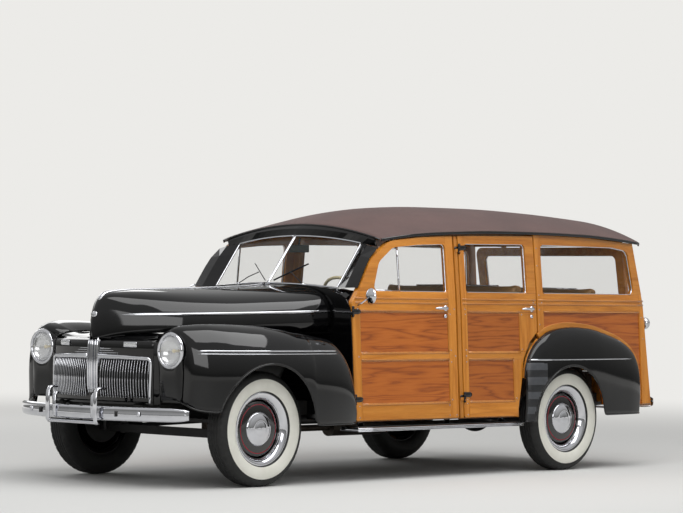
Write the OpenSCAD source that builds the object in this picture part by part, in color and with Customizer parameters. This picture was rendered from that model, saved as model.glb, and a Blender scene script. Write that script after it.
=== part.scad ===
// Wood-bodied station wagon: four side doors, split tail, separate fenders on a ladder frame.
// +X is forward, +Y is the car's left side, +Z is up.  The origin is on the ground below the centre.

/* [Overall] */
// Distance between the front and the rear wheel centres
wheelbase = 2896; // [2750:1:3500]
// Front wheel centre to the face of the front bumper guards
front_overhang = 880; // [850:1:1000]
// Rear wheel centre to the face of the rear bumper
rear_overhang = 1164; // [1140:1:1300]
// Distance between the centre planes of the front tyres
front_track = 1473; // [1460:1:1490]
// Distance between the centre planes of the rear tyres
rear_track = 1524; // [1510:1:1530]

/* [Wheels] */
// Outer radius of a tyre
tyre_r = 355; // [335:1:365]
// Width of a tyre across its side walls
tyre_w = 172; // [150:1:182]
// Radius of the rim's flange
flange_r = 221; // [200:1:235]
// Width between the rim's flanges
rim_w = 118; // [100:1:130]
// Radius of the wheel bearing's bore
spindle_r = 20; // [15:0.5:28]
// Radius of the brake drum
drum_r = 152; // [130:1:165]

/* [Chassis] */
// Height of the frame rails' underside
frame_z = 410; // [405:1:440]
// Depth of the frame rails
frame_h = 90; // [70:1:110]
// Outer half width of the frame
frame_y = 390; // [370:1:420]
// Width of one frame rail
rail_w = 60; // [40:1:80]
// Distance of the kingpins from the centre plane
kingpin_y = 650; // [640:1:655]
// Radius of a kingpin
kingpin_r = 11; // [8:0.5:14]
// Length of the steering arms
steer_arm = 150; // [120:1:165]

/* [Body] */
// Height of the lower edge of the wooden doors
door_z = 385; // [380:1:420]
// Height of the belt line, where the sides start to lean in more
belt_z = 1190; // [1150:1:1210]
// Half width of the body at the foot of the doors, at the centre post
foot_y = 834; // [800:1:840]
// Half width of the body at the belt line, at the centre post
belt_y = 787; // [770:1:800]
// Thickness of a door or a side wall
door_t = 40; // [30:1:50]
// Length of a front door
front_door_l = 970; // [900:1:1050]
// Running gap ahead of a door's hinge edge and behind its closing edge
door_gap = 12; // [10:1:15]
// Width of the centre post that shows between the doors
post_w = 30; // [26:1:60]
// Height of the cargo floor
cargo_z = 652; // [630:1:670]
// Height of the edge where the tailgate and the liftgate meet
gate_z = 1122; // [1080:1:1160]
// Half width of the two gates
gate_y = 690; // [600:1:700]
// Thickness of the roof shell
roof_t = 22; // [15:1:30]
// Thickness of the pressed steel of fenders and hood
steel_t = 6; // [4:1:8]

/* [Cabin] */
// Radius of the steering wheel's rim
wheel_rim_r = 222; // [190:1:230]
// Slope of the steering column below the horizontal
column_tilt = 35; // [25:1:45]
// Half width of the front and the middle seat
seat_y = 640; // [560:1:660]

/* [Hidden] */
fit = 0.3;          // gap between a piece and the seat that carries it
run_fit = 0.05;     // radial clearance of a shaft in its bore
clear = 6;          // running clearance of a moving panel

// stations along the car
length = front_overhang + wheelbase + rear_overhang;
front_x = length / 2;
fa = front_x - front_overhang;   // front axle
ra = fa - wheelbase;             // rear axle
cowl_x = fa - 817;               // front edge of the front doors
post_x = cowl_x - front_door_l - door_gap;   // front face of the centre post
rear_door_x = post_x - post_w - door_gap;    // front edge of the rear doors
quarter_x = ra + 306;            // front edge of the quarter panels
tail_x = ra - 950;               // body's rear face at the foot
belt_tail_x = tail_x + 64;       // the same at the belt
top_tail_x = tail_x + 148;       // the same under the roof
frame_top = frame_z + frame_h;
floor_z = frame_top + 12;
steel_floor = 12;                // thickness of the floor

module both() {
    for (s = [0, 1]) mirror([0, s, 0]) children();
}
module along_x(x0, x1) {    // an outline in Y and Z, extruded from x0 to x1
    translate([x0, 0, 0]) rotate([90, 0, 90]) linear_extrude(x1 - x0) children();
}
module along_y(y0, y1) {    // an outline in X and Z, extruded from y0 to y1
    translate([0, y1, 0]) rotate([90, 0, 0]) linear_extrude(y1 - y0) children();
}
module box(lo, hi) {
    translate(lo) cube(hi - lo);
}
module rod(a, b, r) {       // a round bar between two points
    d = b - a;
    translate(a) rotate([0, acos(d[2] / norm(d)), atan2(d[1], d[0])])
        cylinder(h = norm(d), r = r, $fn = 32);
}

// linear interpolation in a table whose first column falls or rises
function at(t, x, c, i = 0) =
    let (a = t[i], b = t[i + 1], k = (x - a[0]) / (b[0] - a[0]))
    (k <= 1 || i + 2 >= len(t)) ? a[c] + k * (b[c] - a[c]) : at(t, x, c, i + 1);

// an outline with each corner [x, y, radius] moved in by g and rounded
function unit(v) = v / norm(v);
function left(v) = [-v[1], v[0]];
function moved(p, g) = [for (i = [0 : len(p) - 1])
    let (n = len(p), q = [p[i][0], p[i][1]],
        a = unit(q - [p[(i + n - 1) % n][0], p[(i + n - 1) % n][1]]),
        b = unit([p[(i + 1) % n][0], p[(i + 1) % n][1]] - q))
    concat(q + g * (left(a) + left(b)) / (1 + a * b), [max(p[i][2] - g, 0)])];
function rounded(p, n = 5) = [for (i = [0 : len(p) - 1])
    let (m = len(p), q = [p[i][0], p[i][1]], r = p[i][2],
        u = unit([p[(i + m - 1) % m][0], p[(i + m - 1) % m][1]] - q),
        v = unit([p[(i + 1) % m][0], p[(i + 1) % m][1]] - q),
        h = acos(u * v) / 2, c = q + unit(u + v) * r / sin(h), t = r / tan(h),
        a0 = atan2((q + u * t - c)[1], (q + u * t - c)[0]),
        a1 = atan2((q + v * t - c)[1], (q + v * t - c)[0]),
        d = (a1 - a0 > 180) ? a1 - a0 - 360 : (a1 - a0 < -180) ? a1 - a0 + 360 : a1 - a0)
    each (r <= 0) ? [q] : [for (k = [0 : n]) c + r * [cos(a0 + d * k / n), sin(a0 + d * k / n)]]];
module outline(p, g = 0) polygon(rounded(moved(p, g)));

// a closed skin between an outer and an inner grid of points: rows run rearwards, points to +Y
module skin(outer, inner) {
    m = len(outer);
    n = len(outer[0]);
    o = function(i, j) i * n + j;
    q = function(i, j) m * n + i * n + j;
    quad = function(a, b, c, d) [[a, c, b], [a, d, c]];
    polyhedron(
        points = concat([for (r = outer) each r], [for (r = inner) each r]),
        faces = concat(
            [for (i = [0 : m - 2], j = [0 : n - 2]) each concat(
                quad(o(i, j), o(i, j + 1), o(i + 1, j + 1), o(i + 1, j)),
                quad(q(i, j), q(i + 1, j), q(i + 1, j + 1), q(i, j + 1)))],
            [for (i = [0 : m - 2]) each concat(
                quad(o(i, 0), o(i + 1, 0), q(i + 1, 0), q(i, 0)),
                quad(o(i, n - 1), q(i, n - 1), q(i + 1, n - 1), o(i + 1, n - 1)))],
            [for (j = [0 : n - 2]) each concat(
                quad(o(0, j), q(0, j), q(0, j + 1), o(0, j + 1)),
                quad(o(m - 1, j), o(m - 1, j + 1), q(m - 1, j + 1), q(m - 1, j)))]));
}

// ---- body sides: an inclined lower part and a more inclined upper part
function side_y(z) = z < belt_z ? belt_y + (foot_y - belt_y) * (belt_z - z) / (belt_z - 376)
    : belt_y - 0.0977 * (z - belt_z);
front_swell = -20;   // change of half width at the cowl, at the quarter's start and at the tail
mid_swell = 30;
tail_swell = 10;
// a slab of the left side wall from x1 (rear) to x0 (front), between two depths below its face
module side_slab(x1, x0, swell1, swell0, depth0, depth1) {
    turn = atan((swell0 - swell1) / (x0 - x1));
    spare = 60;
    z = [door_z - 60, belt_z, 1660];
    translate([x1, 0, 0]) rotate([0, 0, turn]) along_x(-spare, x0 - x1 + spare) polygon(concat(
        [for (h = z) [side_y(h) + swell1 - depth0, h]],
        [for (i = [2 : -1 : 0]) [side_y(z[i]) + swell1 - depth1, z[i]]]));
}
module front_slab(d0, d1) side_slab(post_x, cowl_x, 0, front_swell, d0, d1);
module rear_slab(d0, d1) side_slab(quarter_x, post_x, mid_swell, 0, d0, d1);
module quarter_slab(d0, d1) side_slab(tail_x, quarter_x, tail_swell, mid_swell, d0, d1);

// roof: [station from the cowl or the tail, crown height, edge height, edge half width]
roof_rows = [
    [cowl_x - 303, 1657, 1556, 733], [cowl_x - 473, 1702, 1578, 738],
    [cowl_x - 673, 1744, 1598, 745], [cowl_x - 973, 1780, 1615, 755],
    [cowl_x - 1373, 1798, 1629, 772], [ra + 206, 1801, 1632, 788], [ra - 294, 1788, 1625, 785],
    [ra - 694, 1768, 1602, 775], [ra - 874, 1757, 1588, 762]];
function roof_z(r, y) = r[1] - (r[1] - r[2]) * pow(y / r[3], 2);
function edge_z(x) = at(roof_rows, x, 2);
roof_steps = 8;
module roof() {
    color("#3d2420") skin(
        [for (r = roof_rows) [for (j = [-roof_steps : roof_steps])
            let (y = r[3] * j / roof_steps) [r[0], y, roof_z(r, y)]]],
        [for (r = roof_rows) [for (j = [-roof_steps : roof_steps])
            let (y = (r[3] - 4) * j / roof_steps) [r[0], y, roof_z(r, y) - roof_t]]]);
}

// ---- outlines in X and Z, as [x, z, corner radius], counter-clockwise in that plane
door_top = 30;       // the doors' upper edge lies this far below the roof's edge
wall_top = 20;     // the fixed sides reach up to the roof's underside
function top_z(x) = edge_z(x) - door_top;
function wall_z(x) = edge_z(x) - wall_top;
window_low = 1212;
front_door_outline = [
    [cowl_x - front_door_l, door_z, 12], [cowl_x, door_z, 25], [cowl_x, 1140, 40],
    [cowl_x - 78, 1240, 60], [cowl_x - 193, 1416, 120], [cowl_x - 370, 1538, 160],
    [cowl_x - 640, 1566, 0], [cowl_x - front_door_l, top_z(cowl_x - front_door_l), 0]];
front_window = [
    [cowl_x - 896, window_low, 18], [cowl_x - 196, window_low, 30], [cowl_x - 264, 1400, 90],
    [cowl_x - 400, 1496, 110], [cowl_x - 640, 1518, 0], [cowl_x - 896, 1528, 30]];
arch_r = 410;        // cut in the side wall over the rear wheel
rear_door_outline = [
    [quarter_x + 230, door_z, 12], [rear_door_x, door_z, 12],
    [rear_door_x, top_z(rear_door_x), 0], [quarter_x + door_gap, top_z(quarter_x), 0],
    [quarter_x + door_gap, 948, 20], [quarter_x + 90, 880, 60], [quarter_x + 158, 760, 60],
    [quarter_x + 176, 640, 40]];
rear_window = [
    [quarter_x + 96, window_low, 18], [rear_door_x - 52, window_low, 18],
    [rear_door_x - 52, 1534, 30], [quarter_x + 96, 1542, 30]];
quarter_outline = [
    [tail_x + 9, 440, 0], [ra - 415, 440, 0], [ra - arch_r, 500, 0], [ra - 300, 740, 150],
    [ra + 200, 790, 150], [quarter_x - 8, 930, 0], [quarter_x, 960, 0], [quarter_x, wall_z(quarter_x), 0],
    [ra - 300, wall_z(ra - 300), 0], [top_tail_x, wall_z(top_tail_x), 0], [belt_tail_x, 1125, 60]];
quarter_window = [
    [ra - 790, window_low, 40], [quarter_x - 66, window_low, 18],
    [quarter_x - 66, 1544, 30], [ra - 560, 1542, 60], [ra - 740, 1520, 60]];
panel_in = 8;        // depth of the recessed panels
module wood_side(shape, window, panels, left_slab = 0) {
    difference() {
        intersection() {
            children(0);
            along_y(600, 900) outline(shape);
        }
        along_y(600, 900) outline(window);
        intersection() {
            children(1);
            along_y(600, 900) for (p = panels) outline(p);
        }
    }
}
// a four-cornered panel between two stations and two heights
function panel(x1, x0, z0, z1) = [[x1, z0, 15], [x0, z0, 15], [x0, z1, 15], [x1, z1, 15]];
front_panels = [
    panel(cowl_x - 896, cowl_x - 69, 490, 766), panel(cowl_x - 896, cowl_x - 69, 817, 1080)];
rear_panels = [
    panel(quarter_x + 250, rear_door_x - 52, 490, 766),
    panel(quarter_x + 180, rear_door_x - 52, 817, 1080)];
quarter_panel_list = [panel(ra - 840, quarter_x - 66, 1010, 1090)];
// hinges: the axis stands hinge_out outside the wood and leans in with the body's side
hinge_out = 8.5;
pin_r = 4;
barrel_r = 7.5;
hinge_x = 2;         // the axis lies this far ahead of the door's edge
front_hinges = [520, 1080];
rear_hinges = [520, 1500];
function axis_y(z, h) = side_y(h[0]) + (side_y(h[1]) - side_y(h[0])) * (z - h[0]) / (h[1] - h[0]) + hinge_out;
module on_axis(x, swell, h) {
    lean = atan((side_y(h[0]) - side_y(h[1])) / (h[1] - h[0]));
    for (z = h) translate([x, axis_y(z, h) + swell, z]) rotate([lean, 0, 0]) children();
}
module front_hinge() on_axis(cowl_x + hinge_x, front_swell, front_hinges) children();
module rear_hinge() on_axis(rear_door_x + hinge_x, 2, rear_hinges) children();
module hinge_barrel(s) {    // fixed half: a barrel with a leaf towards the front
    difference() {
        union() {
            translate([0, 0, -22]) cylinder(h = 22, r = barrel_r, $fn = 48);
            box([0, -hinge_out - 3, -22], [s * 36, -hinge_out + 4.5, 0]);
        }
        translate([0, 0, -30]) cylinder(h = 40, r = pin_r + run_fit, $fn = 48);
    }
}
module hinge_pin() {        // moving half: a pin, its collar and a leaf on the door's face
    translate([0, 0, -26]) cylinder(h = 40, r = pin_r, $fn = 48);
    translate([0, 0, fit]) cylinder(h = 22, r = barrel_r, $fn = 48);
    box([-46, -hinge_out - 3, fit], [0, -hinge_out + 4.5, 22 + fit]);
}
module front_door_wood() {
    front_hinge() hinge_pin();
    wood_side(front_door_outline, front_window, front_panels) {
        front_slab(0, door_t);
        front_slab(-20, panel_in);
    }
    door_handle(cowl_x - 860);
}
module rear_door_wood() {
    rear_hinge() hinge_pin();
    wood_side(rear_door_outline, rear_window, rear_panels) {
        rear_slab(0, door_t);
        rear_slab(-20, panel_in);
    }
    door_handle(quarter_x + 70);
}
module door_handle(x) {
    h = 1105;
    y = side_y(h) + 26;
    box([x - 60, y, h - 9], [x + 60, y + 12, h + 9]);
    box([x - 50, y - 40, h - 8], [x - 34, y + 2, h + 8]);
    box([x + 34, y - 40, h - 8], [x + 50, y + 2, h + 8]);
}
module front_door_left() color("#b5702c") front_door_wood();
module front_door_right() color("#b5702c") mirror([0, 1, 0]) front_door_wood();
module rear_door_left() color("#b5702c") rear_door_wood();
module rear_door_right() color("#b5702c") mirror([0, 1, 0]) rear_door_wood();

glass_t = 6;
glass_in = 20;       // depth of the glass below the wooden face
module pane(window) {
    intersection() {
        children();
        along_y(600, 900) outline(window, fit);
    }
}
module front_glass() pane(front_window) front_slab(glass_in, glass_in + glass_t);
module rear_glass() pane(rear_window) rear_slab(glass_in, glass_in + glass_t);
module front_glass_left() color("#c8d8dc", 0.4) front_glass();
module front_glass_right() color("#c8d8dc", 0.4) mirror([0, 1, 0]) front_glass();
module rear_glass_left() color("#c8d8dc", 0.4) rear_glass();
module rear_glass_right() color("#c8d8dc", 0.4) mirror([0, 1, 0]) rear_glass();
module quarter_glass() color("#c8d8dc", 0.4) both()
    pane(quarter_window) quarter_slab(glass_in, glass_in + glass_t);

corner_d = 75;       // depth of the corner posts along the car
module quarter_panels() color("#a85e26") both() {
    difference() {
        union() {
            wood_side(quarter_outline, quarter_window, quarter_panel_list) {
                quarter_slab(0, door_t);
                quarter_slab(-20, panel_in);
            }
            intersection() {
                quarter_slab(door_t - 1, 200);
                along_y(gate_y + clear, 900) polygon([[tail_x + 9, 440], [tail_x + 9 + corner_d, 440],
                    [belt_tail_x + corner_d, 1125], [top_tail_x + corner_d, 1568],
                    [top_tail_x, 1568], [belt_tail_x, 1125]]);
            }
        }
    }
}

// ---- the body's wooden frame: sills, centre posts, roof rails, tail sill and tail header
sill_in = door_t + clear;
sill_top = floor_z - fit;
function sill(x1, x0) = [[x1, 376], [x0, 376], [x0, sill_top], [x1, sill_top]];
module body_frame() color("#b5702c") {
    both() {
        intersection() {    // sills behind the doors' lower edges
            front_slab(sill_in, sill_in + 40);
            along_y(600, 900) polygon(sill(post_x - post_w, cowl_x - 4));
        }
        intersection() {
            rear_slab(sill_in, sill_in + 40);
            along_y(600, 900) polygon(sill(quarter_x + 170, post_x - post_w - fit));
        }
        centre_post();
        roof_rail();
    }
    box([tail_x + 9, -gate_y, 440], [tail_x + 60, gate_y, cargo_z - 6]);
    both() translate([tail_hinge[0], 0, tail_hinge[1]]) gate_barrel(-16);
    both() translate([lift_hinge[0], 0, lift_hinge[1]]) {
        gate_barrel(0);
        box([0, hinge_y - 20, 3], [48, hinge_y + 20, gate_pin_r + 3]);
    }
    header_row = [0, for (c = [1 : 3]) at(roof_rows, top_tail_x + 20, c)];
    along_x(top_tail_x + 20, top_tail_x + 50) polygon(concat([[gate_y, 1556], [-gate_y, 1556]],
        [for (j = [-6 : 6]) let (y = gate_y * j / 6) [y, roof_z(header_row, y) - roof_t - 1]]));
    both() rear_hinge() hinge_barrel(1);
}
module centre_post() {
    x0 = post_x;
    x1 = post_x - post_w;
    post_top = edge_z(post_x) - rail_h - fit;
    difference() {
        intersection() {
            rear_slab(0, sill_in + 33);
            along_y(600, 900) polygon([[x1, door_z], [x0, door_z], [x0, post_top], [x1, post_top]]);
        }
        intersection() {    // the sill passes behind the post's foot
            rear_slab(sill_in - fit, sill_in + 60);
            along_y(600, 900) polygon([[x1 - 5, 300], [x0 + 5, 300], [x0 + 5, floor_z],
                [x1 - 5, floor_z]]);
        }
    }
}
rail_h = 52;
module roof_rail() {
    rows = [for (r = roof_rows) if (r[0] < cowl_x - 310 && r[0] > top_tail_x + 10) r];
    // the rails stop short of the roof; the ribs over the doors' ends carry it
    over = function(r, y) roof_z(r, y) - roof_t - 3;
    skin([for (r = rows) [[r[0], r[3] - 66, over(r, r[3] - 66)], [r[0], r[3] - 66, r[2] - rail_h]]],
        [for (r = rows) [[r[0], r[3] - 110, over(r, r[3] - 110)], [r[0], r[3] - 110, r[2] - rail_h]]]);
}

// ---- tailgate and liftgate, on the inclined rear face
lower_tilt = atan((belt_tail_x - tail_x) / (1125 - 440));
upper_tilt = atan((top_tail_x - belt_tail_x) / (1600 - 1125));
gate_t = 40;
function rear_x(z) = z < 1125 ? tail_x + (z - 440) * tan(lower_tilt)
    : belt_tail_x + (z - 1125) * tan(upper_tilt);
module gate_slab(z0, z1, t0, t1, y0 = gate_y) {
    along_y(-y0, y0) polygon([[rear_x(z0) + t0, z0], [rear_x(z0) + t1, z0],
        [rear_x(z1) + t1, z1], [rear_x(z1) + t0, z1]]);
}
gate_out = 8;        // the gates' hinge axes stand this far outside their faces
gate_pin_r = 6;
hinge_y = 450;
tail_hinge = [rear_x(cargo_z) - gate_out, cargo_z + 2];
lift_top = 1550;
lift_hinge = [rear_x(lift_top) - gate_out, lift_top + 2];
module across(y0, y1, r) translate([0, y0, 0]) rotate([-90, 0, 0]) cylinder(h = y1 - y0, r = r, $fn = 48);
module gate_barrel(drop) {  // fixed half, with a foot that reaches down to the sill
    difference() {
        union() {
            across(hinge_y - 20, hinge_y + 20, gate_pin_r);
            if (drop < 0) box([-gate_pin_r + 3, hinge_y - 20, drop], [gate_pin_r, hinge_y + 20, 0]);
        }
        across(hinge_y - 30, hinge_y + 30, 3 + run_fit);
    }
}
module gate_pin() {         // moving half: a pin between two ears on the gate's face
    across(hinge_y - 40, hinge_y + 40, 3);
    for (y = [hinge_y - 40, hinge_y + 20 + fit]) {
        across(y, y + 20 - fit, gate_pin_r);
    }
}
module ears(up) for (y = [hinge_y - 40, hinge_y + 20 + fit])
    box([-1, y, min(up, 0)], [gate_out + 3, y + 20 - fit, max(up, 0)]);
module tailgate() color("#a85e26") {
    difference() {
        gate_slab(cargo_z + 4, gate_z - 4, 0, gate_t);
        for (y = [-345, 345]) translate([0, y, 0])
            gate_slab(cargo_z + 74, gate_z - 74, -5, panel_in, 290);
    }
    both() translate([tail_hinge[0], 0, tail_hinge[1]]) {
        gate_pin();
        ears(16);
    }
}
pane_y = gate_y - 70;
module liftgate() color("#b5702c") {
    difference() {
        gate_slab(gate_z + 4, lift_top, 0, gate_t);
        gate_slab(gate_z + 70, lift_top - 60, -20, gate_t + 20, pane_y);
    }
    both() translate([lift_hinge[0], 0, lift_hinge[1]]) {
        gate_pin();
        ears(-16);
    }
}
module liftgate_glass() color("#c8d8dc", 0.4)
    gate_slab(gate_z + 70 + fit, lift_top - 60 - fit, glass_in, glass_in + glass_t, pane_y - fit);

// ---- fenders: [station, inner y, inner z, crown y, crown z, outer y, lower edge z]
ff_arch = [fa + 30, 360, 395];    // front wheel opening: centre x, centre z, radius
rf_arch = [ra + 36, 355, 362];
function open_z(arch, x, low) = let (d = arch[2] * arch[2] - pow(x - arch[0], 2))
    d > 0 ? max(low, arch[1] + sqrt(d)) : low;
front_fender_rows = [
    [fa + 570, 470, 900, 585, 950, 700, 520], [fa + 560, 455, 915, 590, 966, 752, 500],
    [fa + 530, 440, 925, 600, 982, 795, 480], [fa + 480, 440, 930, 620, 991, 838, 470],
    [fa + 425, 460, 932, 650, 996, 868, 466], [fa + 385, 475, 932, 665, 998, 884, 466],
    [fa + 330, 490, 933, 680, 998, 902, 466], [fa + 240, 510, 934, 700, 997, 915, 466],
    [fa + 140, 530, 935, 715, 993, 923, 466], [fa + 30, 550, 935, 725, 988, 928, 466],
    [fa - 80, 565, 932, 735, 977, 928, 466], [fa - 180, 578, 928, 742, 964, 928, 466],
    [fa - 280, 590, 922, 748, 948, 926, 466], [fa - 340, 598, 916, 752, 941, 924, 430],
    [fa - 362, 600, 914, 753, 938, 922, 372], [fa - 480, 608, 900, 758, 923, 916, 372],
    [fa - 580, 612, 885, 762, 906, 905, 372], [fa - 660, 614, 840, 765, 858, 892, 372],
    [fa - 720, 616, 770, 766, 785, 878, 372], [fa - 765, 617, 650, 766, 662, 864, 372],
    [fa - 785, 618, 520, 766, 530, 856, 372]];
rear_fender_rows = [
    [ra + 468, 0, 640, 855, 648, 866, 345], [ra + 462, 0, 690, 856, 700, 880, 345],
    [ra + 444, 0, 745, 857, 758, 897, 345], [ra + 400, 0, 820, 856, 835, 912, 345],
    [ra + 350, 0, 868, 858, 883, 920, 345], [ra + 315, 0, 892, 860, 908, 924, 400],
    [ra + 240, 0, 930, 862, 945, 927, 400], [ra + 120, 0, 961, 864, 975, 928, 400],
    [ra - 20, 0, 972, 864, 984, 928, 400], [ra - 150, 0, 965, 864, 978, 928, 400],
    [ra - 280, 0, 950, 862, 962, 927, 400], [ra - 330, 0, 938, 860, 951, 926, 380],
    [ra - 355, 0, 934, 860, 946, 925, 376], [ra - 440, 0, 912, 858, 925, 922, 376],
    [ra - 540, 0, 882, 856, 896, 916, 376], [ra - 640, 0, 836, 852, 850, 908, 376],
    [ra - 715, 0, 780, 848, 792, 896, 376], [ra - 760, 0, 700, 845, 710, 884, 376],
    [ra - 772, 0, 600, 842, 608, 872, 376], [ra - 776, 0, 480, 848, 486, 866, 376]];
bow_steps = 7;
// a fender's section: up from the inner edge to the crown, round the shoulder, down the side
function fender_section(r, in_y, arch, t) =
    let (low = open_z(arch, r[0], r[6]), drop = r[4] - low, knee = min(0.62 * drop, 330))
    concat([[r[0], in_y + t * 0.3, r[2] - t]],
        [for (k = [0 : bow_steps]) let (a = 90 * k / bow_steps)
            [r[0], r[3] + (r[5] - t - r[3]) * pow(sin(a), 0.9),
                r[4] - t - knee * (1 - pow(cos(a), 0.9))]],
        [[r[0], r[5] - t - 8, low]]);
// half width of the body's outer face behind the rear fender
function wall_y(x, z) = side_y(z) + tail_swell + (mid_swell - tail_swell)
    * (x - tail_x) / (quarter_x - tail_x);
module front_fender() {
    skin([for (r = front_fender_rows) fender_section(r, r[1], ff_arch, 0)],
        [for (r = front_fender_rows) fender_section(r, r[1], ff_arch, steel_t)]);
    // splash apron from the fender's inner edge down to the frame
    top = function(r, t) [r[0], r[1] - 2 - t, r[2] - steel_t - 2];
    foot = function(r, t) [r[0], frame_y - 8 - t, frame_top + fit];
    rows = [for (r = front_fender_rows) if (r[0] > fa - 500 && r[0] < fa + 540) r];
    skin([for (r = rows) [top(r, 0), foot(r, 0)]], [for (r = rows) [top(r, 4), foot(r, 4)]]);
    r = front_fender_rows[0];    // closing plate behind the headlight
    face = fender_section(r, r[1], ff_arch, 0);
    along_x(r[0] + fit, r[0] + fit + 4) polygon(concat([[r[1], r[6]]],
        [for (p = face) [p[1], p[2]]]));
}
module rear_fender() {
    // fitted to the wall: the inner edge lies just outside the wooden side
    rows = [for (r = rear_fender_rows) r];
    skin([for (r = rows) fender_section(r, wall_y(r[0], r[2]) + 1, rf_arch, 0)],
        [for (r = rows) fender_section(r, wall_y(r[0], r[2] - steel_t) + 0.6 - 0.3 * steel_t, rf_arch, steel_t)]);
}
module front_fenders() color("#0b0b0c") both() front_fender();
module rear_fenders() color("#0b0b0c") both() rear_fender();

// ---- hood: [station, crown z, side y, side z, squareness]
hood_x = cowl_x + 18;
hood_rows = [
    [hood_x, 1250, 600, 948, 3.8], [fa - 600, 1232, 594, 948, 3.7], [fa - 300, 1220, 572, 946, 3.5],
    [fa, 1211, 540, 944, 3.2], [fa + 250, 1204, 492, 942, 3], [fa + 400, 1198, 448, 938, 2.8],
    [fa + 500, 1190, 405, 932, 2.7], [fa + 570, 1180, 365, 922, 2.6], [fa + 620, 1150, 315, 912, 2.5],
    [fa + 655, 1090, 255, 905, 2.4], [fa + 680, 1020, 180, 900, 2.3], [fa + 694, 960, 90, 897, 2.2]];
hood_steps = 12;
function hood_section(r, t) = [for (j = [-hood_steps : hood_steps])
    let (a = 90 * j / hood_steps, s = sign(a), e = 2 / r[4])
    [r[0] - t * 0.5, (r[2] - t) * s * pow(sin(abs(a)), e),
        r[3] + (r[1] - t - r[3]) * pow(max(cos(a), 0), e)]];
hood_axis = [hood_x - 1, 1250 + 8];
module hood() color("#0b0b0c") {
    skin([for (r = hood_rows) hood_section(r, 0)], [for (r = hood_rows) hood_section(r, steel_t)]);
    translate([hood_axis[0], 0, hood_axis[1]]) {
        across(-40, 40, 2.5);
        both() across(15 + fit, 40, 4.5);
        both() box([0, 15 + fit, -11], [22, 40, 0]);
    }
}

// ---- front panel and grille on an upright arc
nose_r = 1482;
nose_cx = fa + 672 - nose_r;
module nose_arc(r0, r1, z0, z1, y0, y1) {
    intersection() {
        translate([nose_cx, 0, z0]) difference() {
            cylinder(h = z1 - z0, r = r1, $fn = 128);
            translate([0, 0, -1]) cylinder(h = z1 - z0 + 2, r = r0, $fn = 128);
        }
        box([fa + 300, y0, z0 - 1], [fa + 800, y1, z1 + 1]);
    }
}
grille_z0 = 545;
grille_z1 = 775;
grille_y0 = 62;
grille_y1 = 440;
module grille_shell() color("#0b0b0c") {
    shell_flange();
    front_panel();
}
module front_panel() difference() {
    nose_arc(nose_r - 8, nose_r, frame_top + fit, 885, -462, 462);
    both() box([fa + 300, grille_y0, grille_z0], [fa + 800, grille_y1, grille_z1]);
}
module shell_flange() both() box([fa + 562, 461, frame_top + fit], [fa + 598, 470 - fit, 885]);
bar_pitch = 20;
bar_w = 8;
module grille() color("silver") both() {
    difference() {
        nose_arc(nose_r + fit, nose_r + 12, grille_z0 - 16, grille_z1 + 14, grille_y0 - 14, grille_y1 + 16);
        box([fa + 300, grille_y0 + 2, grille_z0 + 2], [fa + 800, grille_y1 - 2, grille_z1 - 2]);
    }
    for (y = [grille_y0 + 14 : bar_pitch : grille_y1 - 10])
        translate([nose_cx, 0, 0]) rotate([0, 0, asin(y / nose_r)])
            box([nose_r + 1, -bar_w / 2, grille_z0], [nose_r + 9, bar_w / 2, grille_z1]);
}

// ---- lamps
lamp_y = 599;
lamp_z = 833;
lamp_x = front_fender_rows[0][0] + fit + 4;
module disc_x(x0, x1, r) translate([x0, 0, 0]) rotate([0, 90, 0]) cylinder(h = x1 - x0, r = r, $fn = 64);
module lamp_rims() color("silver") both() translate([0, lamp_y, lamp_z]) difference() {
    disc_x(lamp_x + fit, lamp_x + 30, 112);
    disc_x(lamp_x, lamp_x + 40, 90);
}
module lamp_lenses() color("white") both() {
    translate([0, lamp_y, lamp_z]) disc_x(lamp_x + fit, lamp_x + 24, 90 - fit);
    translate([nose_cx, 0, 0]) rotate([0, 0, asin(302 / nose_r)])
        box([nose_r + fit, -48, 850], [nose_r + 16, 48, 880]);
}
module tail_lights() color("red") both() translate([0, 790, 1010])
    disc_x(corner_x(968) - 40, corner_x(968) - fit, 42);
function corner_x(z) = tail_x + 9 + (belt_tail_x - tail_x - 9) * (z - 440) / 685;

// ---- bumpers: an arc bar with guards and brackets
module bumper(face, bow_r, half_w, z0, z1, guard_y) {
    // face is the foremost x of the guards; the bar's face is 40 behind it
    bar = face - 40;
    intersection() {
        translate([bar - bow_r, 0, z0]) difference() {
            cylinder(h = z1 - z0, r = bow_r, $fn = 128);
            translate([0, 0, -1]) cylinder(h = z1 - z0 + 2, r = bow_r - 14, $fn = 128);
        }
        box([bar - 500, -half_w, z0 - 1], [bar + 1, half_w, z1 + 1]);
    }
    both() box([bar - 8 - guard_y * guard_y / bow_r / 2, guard_y - 26, 385], [face, guard_y + 26, 600]);
}
module bumpers() color("silver") {
    bumper(front_x, 1404, 785, 405, 492, 222);
    both() box([fa + 640, 340, 430], [front_x - 78, 380, 470]);
    mirror([1, 0, 0]) {
        bumper(length - front_x, 4200, 785, 405, 492, 330);
        both() box([-tail_x - 64, 340, frame_z + 2], [length - front_x - 62, 380, frame_z + 30 - fit]);
    }
}

// ---- running boards
module running_boards() color("#111") both() {
    box([quarter_x + 180, 700, 318], [cowl_x + 20, 862, 346]);
    for (x = outriggers) box([x - 20, 700, 345], [x + 20, 720, frame_z]);
}
outriggers = [cowl_x - 150, post_x, quarter_x + 240];

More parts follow.
